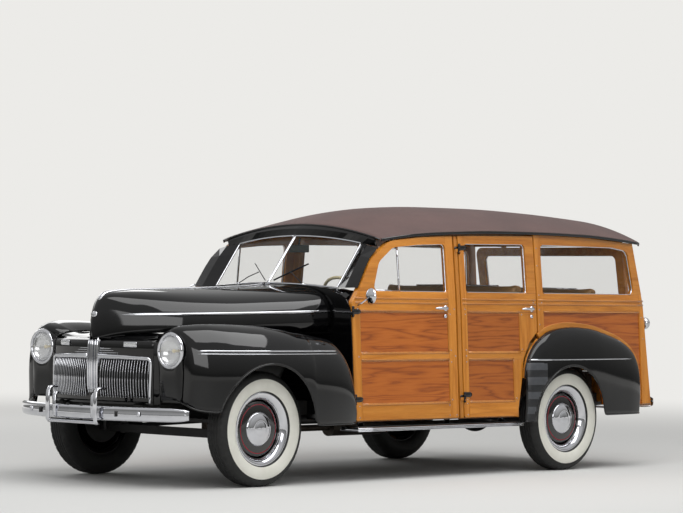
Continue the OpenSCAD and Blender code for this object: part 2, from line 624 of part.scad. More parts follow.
// ---- cowl: bulkhead, cowl top, windshield pillars and header
ws_low = [[cowl_x - 4, 0, 1256], [cowl_x - 69, 555, 1230]];
ws_high = [[cowl_x - 253, 0, 1571], [cowl_x - 291, 555, 1524]];
module cowl() color("#0b0b0c") {
    difference() {      // bulkhead with the body's outline at the cowl
        along_x(cowl_x + 6, cowl_x + 12) polygon(concat(
            [for (z = [380, 600, 900]) [side_y(z) + front_swell - 2, z]],
            [for (j = [20 : -1 : -20]) [764 * j / 20, cowl_top(764 * j / 20)]],
            [for (z = [900, 600, 380]) [2 - side_y(z) - front_swell, z]]));
        box([cowl_x, -frame_y - 1, 370], [cowl_x + 20, frame_y + 1, frame_top + 1]);
        translate([0, column_y, 0]) column_hole();
    }
    both() front_hinge() hinge_bracket();
    translate([hood_axis[0], 0, hood_axis[1]]) difference() {
        union() {
            across(-15, 15, 4.5);
            box([-12, -15, -8], [-1.5, 15, -1]);
        }
        across(-60, 60, 2.5 + run_fit);
    }
    // cowl top: from the bulkhead back to the foot of the windshield
    across_y = [for (j = [-12 : 12]) 716 * j / 12];
    skin([[for (y = across_y) [cowl_x + 6 - fit, y, cowl_top(y)]],
            [for (y = across_y) [ws_x(y, 0), y, ws_z(y, 0) - 2]]],
        [[for (y = across_y) [cowl_x + 6 - fit, y, cowl_top(y) - 60]],
            [for (y = across_y) [ws_x(y, 0), y, ws_z(y, 0) - 62]]]);
    both() skin(        // pillars
        [for (t = pillar_t) [pillar_in(t), (pillar_in(t) + pillar_out(t)) / 2 + [26, 0, 0], pillar_out(t)]],
        [for (t = pillar_t) [pillar_in(t) - [14, 0, 0],
            (pillar_in(t) + pillar_out(t)) / 2 + [12, -4, 0], pillar_out(t) - [0, 14, 0]]]);
    over = [for (j = [-12 : 12]) 684 * j / 12];
    mid_x = function(y) (ws_x(y, 1) + header_x) / 2;
    mid_z = function(y) (ws_z(y, 1) + header_top(y)) / 2;
    skin(               // header
        [[for (y = over) [ws_x(y, 1), y, ws_z(y, 1) + 2]],
            [for (y = over) [mid_x(y) + 12, y, mid_z(y) + 6]],
            [for (y = over) [header_x, y, header_top(y)]]],
        [[for (y = over) [ws_x(y, 1) - 16, y, ws_z(y, 1) + 2]],
            [for (y = over) [mid_x(y) - 4, y, mid_z(y) - 10]],
            [for (y = over) [header_x, y, header_top(y) - roof_t]]]);
}
header_x = roof_rows[0][0] + 0.4;
function header_top(y) = roof_z(roof_rows[0], y);
function cowl_top(y) = 1100 + 152 * pow(max(1 - pow(abs(y) / 764, 3.2), 0), 0.5);
function ws_x(y, t) = let (k = min(abs(y) / 555, 1.28))
    (1 - t) * (ws_low[0][0] + k * (ws_low[1][0] - ws_low[0][0]))
    + t * (ws_high[0][0] + k * (ws_high[1][0] - ws_high[0][0]));
function ws_z(y, t) = let (k = pow(min(abs(y) / 555, 1.28), 2))
    (1 - t) * (ws_low[0][2] + k * (ws_low[1][2] - ws_low[0][2]))
    + t * (ws_high[0][2] + k * (ws_high[1][2] - ws_high[0][2]));
// the pillar's outer edge runs ahead of the front door's curved edge: [height, distance behind the cowl]
pillar_rows = [[1232, 58], [1330, 118], [1416, 176], [1490, 262]];
pillar_t = [0, 0.25, 0.5, 0.75, 1];
function pillar_in(t) = [ws_x(572, t), 572, ws_z(572, t) + 1 + 0.6 * t];
function pillar_out(t) = let (z = 1232 + (1490 - 1232) * t)
    [cowl_x - at(pillar_rows, z, 1), side_y(z) + front_swell - 2, z];
module hinge_bracket() {    // fixed half of a front door's hinge, on the bulkhead's edge
    difference() {
        union() {
            translate([0, 0, -22]) cylinder(h = 22, r = barrel_r, $fn = 48);
            box([2, -hinge_out - 14, -22], [10 - fit, 0, 0]);
        }
        translate([0, 0, -30]) cylinder(h = 40, r = pin_r + run_fit, $fn = 48);
    }
}
module column_hole() {
    x = cowl_x + 10;
    z = column_z(x);
    translate([x, 0, z]) rotate([0, 90 + column_tilt, 0]) cylinder(h = 80, r = 19 + fit, center = true, $fn = 48);
}

module windshield() color("#c8d8dc", 0.4) both() skin(
    [for (t = [0, 1]) [pane_corner(3, t, 0.4), pane_corner(568, t, 0.4)]],
    [for (t = [0, 1]) [pane_corner(3, t, 6.4), pane_corner(568, t, 6.4)]]);
function pane_corner(y, t, back) = [ws_x(y, t) - back, y, ws_z(y, t) - 12 + 13.5 * t];

// ---- floor, wheel houses and toe board
floor_y = 745;
house_r = 402;
riser_x = quarter_x - 120;
module floor() color("#6b4a32") {
    difference() {
        union() {
            box([riser_x, -floor_y, floor_z], [cowl_x + 6 - fit, floor_y, floor_z + steel_floor]);
            box([riser_x - 12, -floor_y, floor_z], [riser_x, floor_y, cargo_z]);
            box([tail_x + corner_d + 30, -floor_y, cargo_z - steel_floor], [riser_x, floor_y, cargo_z]);
            box([tail_x + 68, -gate_y + 1, cargo_z - steel_floor], [riser_x, gate_y - 1, cargo_z]);
            box([tail_x + 76, -620, cargo_z - 1], [ra - 734, 620, cargo_z + 3]);
            both() wheel_house(house_r + 6, 634, 770);
        }
        both() wheel_house(house_r, 640, 900);
    }
    for (x = [cowl_x - 100, post_x, riser_x + 60], s = [-1, 1])
        box([x - 30, s * (frame_y - 30) - 28, frame_top], [x + 30, s * (frame_y - 30) + 28, floor_z]);
    for (x = [ra - 300, tail_x + 150], s = [-1, 1])
        box([x - 30, s * (frame_y - 30) - 28, frame_top],
            [x + 30, s * (frame_y - 30) + 28, cargo_z - steel_floor]);
}
module wheel_house(r, y0, y1) {
    intersection() {
        translate([ra, y0, 355]) rotate([-90, 0, 0]) cylinder(h = y1 - y0, r = r, $fn = 96);
        box([ra - 600, y0 - 1, floor_z - 1], [ra + 600, y1 + 1, 900]);
    }
}

// ---- cabin
column_y = 380;
hub_x = cowl_x - 388;
hub_z = 1125;
function column_z(x) = hub_z - (x - hub_x) * tan(column_tilt);
module on_column(d) translate([hub_x, column_y, hub_z]) rotate([0, 90 + column_tilt, 0])
    translate([0, 0, d]) children();
column_l = (cowl_x + 40 - hub_x) / cos(column_tilt);
module dashboard() color("#5a4030") {
    difference() {
        along_y(-680, 680) outline([[cowl_x - 170, 985, 12], [cowl_x - 60, 985, 12],
            [cowl_x - 84, 1112, 12], [cowl_x - 150, 1112, 25]]);
        on_column(0) cylinder(h = column_l, r = 19, $fn = 48);
    }
    difference() {
        on_column(60) cylinder(h = column_l - 60, r = 19, $fn = 48);
        on_column(50) cylinder(h = 90, r = 10 + run_fit, $fn = 48);
    }
    both() box([cowl_x - 120, 678, 985], [cowl_x - 90, 700, 1100]);
}
module steering_wheel() color("ivory") {
    on_column(0) {
        rotate_extrude($fn = 96) translate([wheel_rim_r - 11, 0]) circle(r = 11, $fn = 32);
        translate([0, 0, 5]) cylinder(h = 53, r = 26, $fn = 48);
        translate([0, 0, 50]) cylinder(h = 80, r = 10, $fn = 48);
        for (a = [90, 210, 330]) rotate([0, 0, a])
            box([20, -8, 8], [wheel_rim_r - 14, 8, 16]);
        for (a = [90, 210, 330]) rotate([0, 0, a])
            box([wheel_rim_r - 22, -8, -2], [wheel_rim_r - 10, 8, 16]);
    }
}
// a bench: cushion and reclined back; the feet stand on the floor
module bench(x0, depth, low, top, back_top, half_w, base) {
    box([x0 - depth, -half_w, top - 150], [x0, half_w, top]);
    along_y(-half_w, half_w) outline([[x0 - depth - 62, top - 150, 10], [x0 - depth - 1, top - 150, 10],
        [x0 - depth + 24, top, 10], [x0 - depth - 50, back_top, 40],
        [x0 - depth - 158, back_top, 40]]);
    for (y = [-half_w + 60, half_w - 100]) box([x0 - depth + 10, y, base], [x0 - 60, y + 40, top - 149]);
}
module front_seat() color("#c9a56e")
    bench(cowl_x - 560, 470, 0, 820, 1245, seat_y, floor_z + steel_floor + fit);
module middle_seat() color("#c9a56e")
    bench(quarter_x + 500, 450, 0, 850, 1300, seat_y, floor_z + steel_floor + fit);
module rear_seat() color("#c9a56e")
    bench(ra - 120, 440, 0, 860, 1288, 560, cargo_z + fit);

// ---- chassis
cross_members = [fa + 560, fa - 20, cowl_x - 260, post_x - 170, quarter_x + 330, ra - 175, tail_x + 110];
cross_w = 60;
module frame() color("#151515") difference() {
    union() {
        both() box([tail_x + 64, frame_y - rail_w, frame_z], [fa + 640, frame_y, frame_top]);
        for (x = cross_members) box([x - cross_w / 2, -frame_y + 1, frame_z], [x + cross_w / 2, frame_y - 1, frame_top]);
        both() for (x = outriggers) box([x - 20, frame_y - 1, frame_z], [x + 20, 715, frame_z + 24]);
    }
    for (x = [-40, 40], y = [-100, 100]) translate([tail_x + 110 + x / 2, y, frame_z - 1])
        cylinder(h = frame_h + 2, r = 6.6, $fn = 32);
}
module engine() color("#30403a") {
    box([fa - 420, -250, frame_top + fit], [fa + 200, 250, frame_top + 420]);
    box([fa - 700, -110, frame_z + 20], [fa - 419, 110, frame_top + 90]);
}
module radiator() color("#1c1c1c")
    box([fa + 535, -260, frame_top + fit], [fa + 585, 260, frame_top + 330]);
module fuel_tank() color("#222")
    box([ra - 760, -frame_y + rail_w + fit, frame_z - 60], [ra - 300, frame_y - rail_w - fit, frame_top - 10]);
exhaust_y = -245;
exhaust_z = frame_z - 130;
module exhaust() color("#555") {
    muffler_r = 60;
    pipe_r = 22;
    rod([fa - 420 - fit, exhaust_y + 5, exhaust_z + 320], [fa - 500, exhaust_y + 5, exhaust_z + 320], pipe_r);
    translate([fa - 500, exhaust_y + 5, exhaust_z]) cylinder(h = 320, r = pipe_r + 1, $fn = 32);
    translate([fa - 500, exhaust_y + 5, exhaust_z]) sphere(r = pipe_r + 6, $fn = 32);
    translate([fa - 500, exhaust_y + 5, exhaust_z + 320]) sphere(r = pipe_r + 6, $fn = 32);
    rod([fa - 500, exhaust_y + 5, exhaust_z], [tail_x + 30, exhaust_y + 5, exhaust_z], pipe_r);
    rod([post_x + 150, exhaust_y + 5, exhaust_z], [post_x - 350, exhaust_y + 5, exhaust_z], muffler_r);
    for (x = [post_x - 170, tail_x + 110])
        box([x - 10, exhaust_y, exhaust_z], [x + 10, exhaust_y + 10, frame_z - fit]);
}
axle_z = tyre_r;
beam_h = 50;
module front_axle() color("#151515") {
    difference() {
        union() {
            box([fa - 20, -kingpin_y + 60, axle_z - beam_h - 20], [fa + 20, kingpin_y - 60, axle_z - 20]);
            both() translate([fa, kingpin_y, axle_z - 45]) cylinder(h = 90, r = 26, $fn = 48);
            both() box([fa - 15, kingpin_y - 90, axle_z - 45], [fa + 15, kingpin_y - 10, axle_z + 30]);
            both() box([fa - 22, 470, axle_z - 30], [fa + 22, 486, axle_z + 32]);   // shackles
            box([fa - 22, -486, axle_z + 20], [fa + 22, 486, axle_z + 42]);          // leaf spring
            box([fa - 30, -60, axle_z + 40], [fa + 22, 60, frame_z]);
        }
        both() translate([fa, kingpin_y, 0]) cylinder(h = 900, r = kingpin_r + run_fit, $fn = 48);
    }
    both() rod([fa - 20.5, 560, axle_z - 40], [fa - 700, 26, axle_z + 20], 14);
    translate([fa - 720, 0, axle_z + 20]) sphere(r = 34, $fn = 48);
    box([fa - 730, -20, axle_z + 40], [fa - 710, 20, frame_z + 10]);
}
stub_y = rear_track / 2 - 70;
module rear_axle() color("#151515") {
    translate([ra, -stub_y, axle_z]) rotate([-90, 0, 0]) cylinder(h = 2 * stub_y, r = 36, $fn = 48);
    translate([ra, 0, axle_z]) sphere(r = 125, $fn = 64);
    both() translate([ra, stub_y - 1, axle_z]) rotate([-90, 0, 0]) {
        cylinder(h = 5, r = drum_r - 3, $fn = 64);
        cylinder(h = 90, r = spindle_r, $fn = 48);
    }
    rod([ra, 0, axle_z], [fa - 900, 0, axle_z], 32);
    both() box([ra - 197, 486, axle_z - 10], [ra, 500, axle_z + 40]);
    box([ra - 197, -500, axle_z + 26], [ra - 153, 500, axle_z + 48]);
    box([ra - 197, -60, axle_z + 40], [ra - 153, 60, frame_z]);
}
module knuckle() {
    both_z = [[axle_z - 45 - 16 - fit, 16], [axle_z + 45 + fit, 16]];
    translate([fa, kingpin_y, both_z[0][0] - 4]) cylinder(h = 134, r = kingpin_r, $fn = 48);
    for (e = both_z) translate([fa, kingpin_y, e[0]]) cylinder(h = e[1], r = 26, $fn = 48);
    for (e = both_z) box([fa - 18, kingpin_y, e[0]], [fa + 18, kingpin_y + 32, e[0] + e[1]]);
    box([fa - 18, kingpin_y + 27, both_z[0][0]], [fa + 18, kingpin_y + 36, both_z[1][0] + 16]);
    translate([fa, kingpin_y + 34, axle_z]) rotate([-90, 0, 0]) {
        cylinder(h = front_track / 2 - kingpin_y - 36 + 20, r = spindle_r, $fn = 48);
        cylinder(h = 4, r = drum_r - 3, $fn = 64);
    }
    difference() {
        union() {
            box([fa - steer_arm, kingpin_y - 10, both_z[0][0]], [fa, kingpin_y + 10, both_z[0][0] + 16]);
            translate([fa - steer_arm, kingpin_y, both_z[0][0]]) cylinder(h = 16, r = 18, $fn = 48);
        }
        translate([fa - steer_arm, kingpin_y, 0]) cylinder(h = 600, r = 8 + run_fit, $fn = 48);
    }
}
module knuckle_left() color("#222") knuckle();
module knuckle_right() color("#222") mirror([0, 1, 0]) knuckle();
module tie_rod() color("#222") {
    z = axle_z - 45 - 16 - fit;
    both() translate([fa - steer_arm, kingpin_y, z - 28]) cylinder(h = 44, r = 8, $fn = 48);
    both() translate([fa - steer_arm, kingpin_y, z - 28]) cylinder(h = 27, r = 16, $fn = 48);
    rod([fa - steer_arm, -kingpin_y, z - 14.5], [fa - steer_arm, kingpin_y, z - 14.5], 11);
}

// ---- wheels: profiles in [radius, distance outwards from the tyre's centre plane]
module wheel_at(x, y, s) translate([x, s * y, axle_z]) rotate([-90 * s, 0, 0]) children();
module wheel_shape() {
    w = rim_w / 2;
    f = flange_r;
    rotate_extrude($fn = 96) polygon([[f, w + 8], [f, w + 1], [f - 15, w - 4], [f - 17, 22],
        [f - 30, 14], [f - 30, -14], [f - 17, -22], [f - 15, -w + 4], [f, -w - 1], [f, -w - 8],
        [f - 4, -w - 8], [f - 4, -w - 3], [f - 19, -w + 1], [f - 21, -24], [f - 35, -17],
        [f - 35, 2], [drum_r + 6, 14], [125, 22], [112, 16], [60, 4], [spindle_r + run_fit, 4],
        [spindle_r + run_fit, 10], [58, 10], [110, 22], [124, 28], [drum_r + 6, 20],
        [f - 35, 9], [f - 35, 17], [f - 21, 24], [f - 19, w - 1], [f - 4, w + 3], [f - 4, w + 8]]);
    rotate_extrude($fn = 96) polygon([[drum_r, 4.5], [drum_r, -44], [drum_r - 4, -44], [drum_r - 4, 0.5],
        [40, 0.5], [40, -40], [spindle_r + run_fit, -40], [spindle_r + run_fit, 4.5]]);
    rotate_extrude($fn = 96) polygon([[106, 21.4], [104, 34], [82, 50], [45, 58], [0, 60], [0, 57],
        [45, 55], [80, 47], [100, 33], [102, 21.4]]);
}
module tyre_shape() {
    h = tyre_r - flange_r + 13;
    c = tyre_r - h / 2 - 6;
    w = tyre_w / 2;
    b = flange_r - 14.5;
    rotate_extrude($fn = 96) polygon(concat(
        [[b, rim_w / 2 - 4.6], [flange_r + fit, rim_w / 2 + 0.4], [flange_r + fit, rim_w / 2 + 8.3],
            [flange_r + 8, rim_w / 2 + 14]],
        [for (a = [-50 : 20 : 50]) [c + (h / 2) * sin(a) * 1.0, w - (1 - cos(a)) * 26]],
        [[tyre_r - 12, w - 32], [tyre_r - 4, w - 46], [tyre_r, 0], [tyre_r - 4, -w + 46],
            [tyre_r - 12, -w + 32]],
        [for (a = [50 : -20 : -50]) [c + (h / 2) * sin(a) * 1.0, -w + (1 - cos(a)) * 26]],
        [[flange_r + 8, -rim_w / 2 - 14], [flange_r + fit, -rim_w / 2 - 8.3],
            [flange_r + fit, -rim_w / 2 - 0.4], [b, -rim_w / 2 + 4.6]]));
}
module front_wheel_left() color("#111") wheel_at(fa, front_track / 2, 1) wheel_shape();
module front_wheel_right() color("#111") wheel_at(fa, front_track / 2, -1) wheel_shape();
module rear_wheel_left() color("#111") wheel_at(ra, rear_track / 2, 1) wheel_shape();
module rear_wheel_right() color("#111") wheel_at(ra, rear_track / 2, -1) wheel_shape();
module front_tyre_left() color("#1a1a1a") wheel_at(fa, front_track / 2, 1) tyre_shape();
module front_tyre_right() color("#1a1a1a") wheel_at(fa, front_track / 2, -1) tyre_shape();
module rear_tyre_left() color("#1a1a1a") wheel_at(ra, rear_track / 2, 1) tyre_shape();
module rear_tyre_right() color("#1a1a1a") wheel_at(ra, rear_track / 2, -1) tyre_shape();

frame();
engine();
radiator();
fuel_tank();
exhaust();
front_axle();
rear_axle();
cowl();
floor();
grille_shell();
grille();
front_fenders();
rear_fenders();
lamp_rims();
lamp_lenses();
tail_lights();
bumpers();
running_boards();
body_frame();
quarter_panels();
roof();
windshield();
quarter_glass();
dashboard();
front_seat();
middle_seat();
rear_seat();
hood();
front_door_left();
front_door_right();
rear_door_left();
rear_door_right();
front_glass_left();
front_glass_right();
rear_glass_left();
rear_glass_right();
tailgate();
liftgate();
liftgate_glass();
knuckle_left();
knuckle_right();
tie_rod();
steering_wheel();
front_wheel_left();
front_wheel_right();
rear_wheel_left();
rear_wheel_right();
front_tyre_left();
front_tyre_right();
rear_tyre_left();
rear_tyre_right();
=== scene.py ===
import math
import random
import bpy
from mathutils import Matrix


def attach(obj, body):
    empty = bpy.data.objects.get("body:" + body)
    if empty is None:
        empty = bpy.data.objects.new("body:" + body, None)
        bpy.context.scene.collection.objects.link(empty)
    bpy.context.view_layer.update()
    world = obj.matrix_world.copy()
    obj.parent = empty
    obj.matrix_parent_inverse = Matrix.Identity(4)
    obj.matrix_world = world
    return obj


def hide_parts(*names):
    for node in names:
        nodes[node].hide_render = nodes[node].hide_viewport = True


bl_info = {
    "name": "Wood-bodied station wagon",
    "version": (1, 0, 0),
    "blender": (4, 5, 0),
    "location": "View3D > Sidebar > Wagon",
    "description": "Builds the visible pieces and finishes of a wood-bodied station wagon on its packed frame",
    "category": "Object",
}

import bmesh
import bpy
import numpy as np
from mathutils import Matrix, Vector
from mathutils.geometry import tessellate_polygon

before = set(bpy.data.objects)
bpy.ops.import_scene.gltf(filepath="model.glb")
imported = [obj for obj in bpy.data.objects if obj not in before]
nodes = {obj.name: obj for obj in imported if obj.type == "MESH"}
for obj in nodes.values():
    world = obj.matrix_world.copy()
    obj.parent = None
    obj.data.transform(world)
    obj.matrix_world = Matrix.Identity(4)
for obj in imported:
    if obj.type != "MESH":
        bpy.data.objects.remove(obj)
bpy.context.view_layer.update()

# ---- stations along the car, in millimetres like every length below
FA, RA = 1590.0, -1306.0
COWL, POST, QUARTER = 773.0, -209.0, -1000.0
TAIL, BELT_TAIL = -2256.0, -2192.0
AXLE_Z = 355.0
FRONT_Y, REAR_Y = 736.5, 762.0


# ---- small helpers
def linear(code, alpha=1.0):
    """sRGB hex code, or the name of one of the panel's colours, to linear colour."""
    if not code.startswith("#"):
        return list(getattr(bpy.context.scene.wagon_colours, code)) + [alpha]
    parts = [int(code[i:i + 2], 16) / 255 for i in (1, 3, 5)]
    return [c / 12.92 if c <= 0.04045 else ((c + 0.055) / 1.055) ** 2.4 for c in parts] + [alpha]


def add(tree, kind, settings=None, inputs=None):
    """Adds a node, sets its properties and its inputs; an input given as a socket is linked."""
    n = tree.nodes.new(kind)
    for key, value in (settings or {}).items():
        setattr(n, key, value)
    for key, value in (inputs or {}).items():
        if isinstance(value, bpy.types.NodeSocket):
            tree.links.new(value, n.inputs[key])
        else:
            n.inputs[key].default_value = value
    return n


def spline(table, per=6):
    """A table of rows made finer with a smooth curve that never overshoots its rows."""
    t = np.array(table, float)
    n = len(t)
    d = np.diff(t, axis=0)
    m = np.zeros_like(t)
    same = d[:-1] * d[1:] > 0
    with np.errstate(divide="ignore", invalid="ignore"):
        m[1:-1] = np.where(same, 2 * d[:-1] * d[1:] / (d[:-1] + d[1:]), 0)
    m[0], m[-1] = d[0], d[-1]
    out = []
    for i in range(n - 1):
        for k in range(per):
            s = k / per
            out.append((2 * s**3 - 3 * s**2 + 1) * t[i] + (s**3 - 2 * s**2 + s) * m[i]
                       + (3 * s**2 - 2 * s**3) * t[i + 1] + (s**3 - s**2) * m[i + 1])
    out.append(t[-1])
    return [list(r) for r in out]


def at(table, x, col):
    """Straight-line value of a column at x; the first column falls or rises."""
    rows = sorted(table, key=lambda r: r[0])
    return float(np.interp(x, [r[0] for r in rows], [r[col] for r in rows]))


def grid(rows, closed=False):
    """Vertices and quads of a grid of points; closed joins each row's end to its start."""
    n = len(rows[0])
    verts = [p for r in rows for p in r]
    faces = []
    for i in range(len(rows) - 1):
        for j in range(n if closed else n - 1):
            k = (j + 1) % n
            faces.append((i * n + j, i * n + k, (i + 1) * n + k, (i + 1) * n + j))
    return verts, faces


class Shape:
    """Vertices in millimetres, faces and the material number of each face."""

    def __init__(self):
        self.v, self.f, self.m, self.tag, self.smooth = [], [], [], [], []

    def put(self, verts, faces, mat=0, tag=0.0, smooth=True):
        n = len(self.v)
        self.v += [tuple(p) for p in verts]
        self.f += [tuple(i + n for i in f) for f in faces]
        self.m += [mat] * len(faces)
        self.tag += [tag] * len(verts)
        self.smooth += [smooth] * len(faces)
        return self

    def mirrored(self):
        """The same on the car's other side."""
        n = len(self.v)
        self.v += [(x, -y, z) for x, y, z in self.v]
        self.f += [tuple(i + n for i in reversed(f)) for f in self.f]
        self.m += self.m
        self.tag += [t + 0.37 for t in self.tag]
        self.smooth += self.smooth
        return self

    def facing(self, away):
        """Turns every face round if, on balance, they look towards a point inside."""
        total = 0.0
        for f in self.f:
            p = [Vector(self.v[i]) for i in f[:4]]
            normal = (p[2] - p[0]).cross(p[3 if len(p) > 3 else 1] - p[1 if len(p) > 3 else 0])
            if len(p) == 3:
                normal = (p[1] - p[0]).cross(p[2] - p[0])
            total += normal.dot((p[0] + p[2]) / 2 - Vector(away))
        if total < 0:
            self.f = [tuple(reversed(f)) for f in self.f]
        return self

    def flipped(self):
        """Only the other side."""
        s = Shape()
        s.v = [(x, -y, z) for x, y, z in self.v]
        s.f = [tuple(reversed(f)) for f in self.f]
        s.m, s.tag, s.smooth = list(self.m), [t + 0.37 for t in self.tag], list(self.smooth)
        return s


def piece(name, body, shape, mats, stands_for=(), outward=False, mods=()):
    """Makes the object, lets it ride on its body and hides the nodes that it stands for."""
    mesh = bpy.data.meshes.new(name)
    mesh.from_pydata([Vector(p) * 0.001 for p in shape.v], [], shape.f)
    for m in mats:
        mesh.materials.append(material(m))
    mesh.polygons.foreach_set("material_index", shape.m)
    mesh.polygons.foreach_set("use_smooth", shape.smooth)
    board = mesh.attributes.new("board", "FLOAT", "POINT")
    board.data.foreach_set("value", shape.tag)
    bm = bmesh.new()
    bm.from_mesh(mesh)
    bmesh.ops.remove_doubles(bm, verts=bm.verts, dist=1e-6)
    bmesh.ops.dissolve_degenerate(bm, edges=bm.edges, dist=1e-7)
    if outward:
        bmesh.ops.recalc_face_normals(bm, faces=bm.faces)
    bm.to_mesh(mesh)
    bm.free()
    mesh.update()
    ob = bpy.data.objects.new(name, mesh)
    bpy.context.scene.collection.objects.link(ob)
    for kind, settings in mods:
        mod = ob.modifiers.new(kind.title(), kind)
        for key, value in settings.items():
            setattr(mod, key, value)
    if mods:
        graph = bpy.context.evaluated_depsgraph_get()
        plain = bpy.data.meshes.new_from_object(ob.evaluated_get(graph))
        ob.modifiers.clear()
        ob.data = plain
        plain.name = name
    if stands_for:
        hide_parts(*stands_for)
    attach(ob, body)
    return ob


def frames(path, up=(0, 0, 1), closed=False):
    """At each point of a path: the point, a side direction and an up direction."""
    pts = [Vector(p) for p in path]
    n = len(pts)
    out = []
    for i, p in enumerate(pts):
        a = pts[(i - 1) % n] if closed or i else pts[0]
        b = pts[(i + 1) % n] if closed or i < n - 1 else pts[-1]
        along = (b - a).normalized()
        side = along.cross(Vector(up[i] if isinstance(up, list) else up))
        side = side.normalized() if side.length > 1e-6 else Vector((0, 1, 0))
        out.append((p, side, side.cross(along).normalized()))
    return out


def sweep(shape, path, section, up=(0, 0, 1), mat=0, closed=False, scale=None, tag=0.0):
    """Moves a closed section of (side, up) points along a path, with flat ends."""
    rows = []
    for i, (p, s, u) in enumerate(frames(path, up, closed)):
        k = scale[i] if scale else 1.0
        rows.append([tuple(p + s * a * k + u * b * k) for a, b in section])
    if closed:
        rows.append(rows[0])
    v, f = grid(rows, closed=True)
    f = [tuple(reversed(q)) for q in f]
    n = len(section)
    if not closed:
        f += [tuple(range(n)), tuple(reversed(range(len(v) - n, len(v))))]
    return shape.put(v, f, mat, tag)


def circle(r, n=12, squash=1.0):
    return [(r * math.cos(2 * math.pi * i / n), r * squash * math.sin(2 * math.pi * i / n)) for i in range(n)]


def half_round(w, h, n=8):
    """A bead's section: flat back of width w, crown height h."""
    return [(w / 2 * math.cos(math.pi * i / n), h * math.sin(math.pi * i / n)) for i in range(n + 1)]


def tube(shape, path, r, mat=0, n=10, up=(0, 0, 1), closed=False, scale=None):
    return sweep(shape, path, circle(r, n), up, mat, closed, scale)


def lathe(shape, profile, centre, axis, n=96, mat=0):
    """Turns (radius, distance) points round an axis; distance runs along the axis."""
    axis = Vector(axis).normalized()
    u = axis.orthogonal().normalized()
    w = axis.cross(u)
    c = Vector(centre)
    rows = [[tuple(c + axis * d + (u * math.cos(a) + w * math.sin(a)) * r)
             for a in (2 * math.pi * k / n for k in range(n))] for r, d in profile]
    v, f = grid(rows, closed=True)
    return shape.put(v, f, mat)


def block(shape, lo, hi, mat=0, bevel=2.0, segments=2, tag=0.0, turn=None, smooth=True):
    """A box with rounded edges."""
    bm = bmesh.new()
    bmesh.ops.create_cube(bm, size=1)
    size = Vector(hi) - Vector(lo)
    mid = (Vector(hi) + Vector(lo)) / 2
    bmesh.ops.transform(bm, matrix=Matrix.Diagonal(size).to_4x4(), verts=bm.verts)
    if bevel:
        bmesh.ops.bevel(bm, geom=bm.edges, offset=min(bevel, min(size) * 0.45), segments=segments,
                        affect="EDGES", profile=0.5)
    if turn:
        bmesh.ops.transform(bm, matrix=turn, verts=bm.verts)
    bmesh.ops.translate(bm, vec=mid, verts=bm.verts)
    take(shape, bm, mat, tag, smooth)
    return shape


def take(shape, bm, mat=0, tag=0.0, smooth=True):
    """Adds a bmesh to a shape and frees it."""
    bmesh.ops.recalc_face_normals(bm, faces=bm.faces)
    bm.verts.index_update()
    shape.put([tuple(v.co) for v in bm.verts], [[v.index for v in f.verts] for f in bm.faces], mat, tag, smooth)
    bm.free()


# ---- the body's lines
def side_y(z):
    """Half width of the body at the centre post; the belt's knee is rounded."""
    def sharp(h):
        return 787 + 47 * (1190 - h) / 814 if h < 1190 else 787 - 0.0977 * (h - 1190)
    if abs(z - 1190) < 40:
        k = (z - 1150) / 80
        return sharp(1150) * (1 - k) + sharp(1230) * k + 0.9 * math.sin(math.pi * k)
    return sharp(z)


def swell(x, slab):
    a, b, sa, sb = {"front": (POST, COWL, 0, -20), "rear": (QUARTER, POST, 30, 0),
                    "quarter": (TAIL, QUARTER, 10, 30)}[slab]
    return sa + (sb - sa) * (x - a) / (b - a)


ROOF = [[470, 1657, 1556, 733], [300, 1702, 1578, 738], [100, 1744, 1598, 745], [-200, 1780, 1615, 755],
        [-600, 1798, 1629, 772], [-1100, 1801, 1632, 788], [-1600, 1788, 1625, 785],
        [-2000, 1768, 1602, 775], [-2180, 1757, 1588, 762]]


def roof_z(r, y):
    return r[1] - (r[1] - r[2]) * (y / r[3]) ** 2


def edge_z(x):
    return at(ROOF, x, 2)


def top_z(x):
    return edge_z(x) - 30


def wall_z(x):
    return edge_z(x) - 20


def rounded(points, n=7):
    """Corner points (x, z, radius), counter-clockwise, to a polyline with its corners rounded."""
    out = []
    m = len(points)
    for i, (x, z, r) in enumerate(points):
        q = Vector((x, z))
        u = (Vector(points[i - 1][:2]) - q).normalized()
        v = (Vector(points[(i + 1) % m][:2]) - q).normalized()
        if r <= 0:
            out.append(tuple(q))
            continue
        h = math.acos(max(-1, min(1, u.dot(v)))) / 2
        c = q + (u + v).normalized() * r / math.sin(h)
        a0 = math.atan2(*reversed(q + u * (r / math.tan(h)) - c))
        a1 = math.atan2(*reversed(q + v * (r / math.tan(h)) - c))
        d = (a1 - a0 + math.pi) % (2 * math.pi) - math.pi
        out += [tuple(c + Vector((math.cos(a0 + d * k / n), math.sin(a0 + d * k / n))) * r) for k in range(n + 1)]
    return out


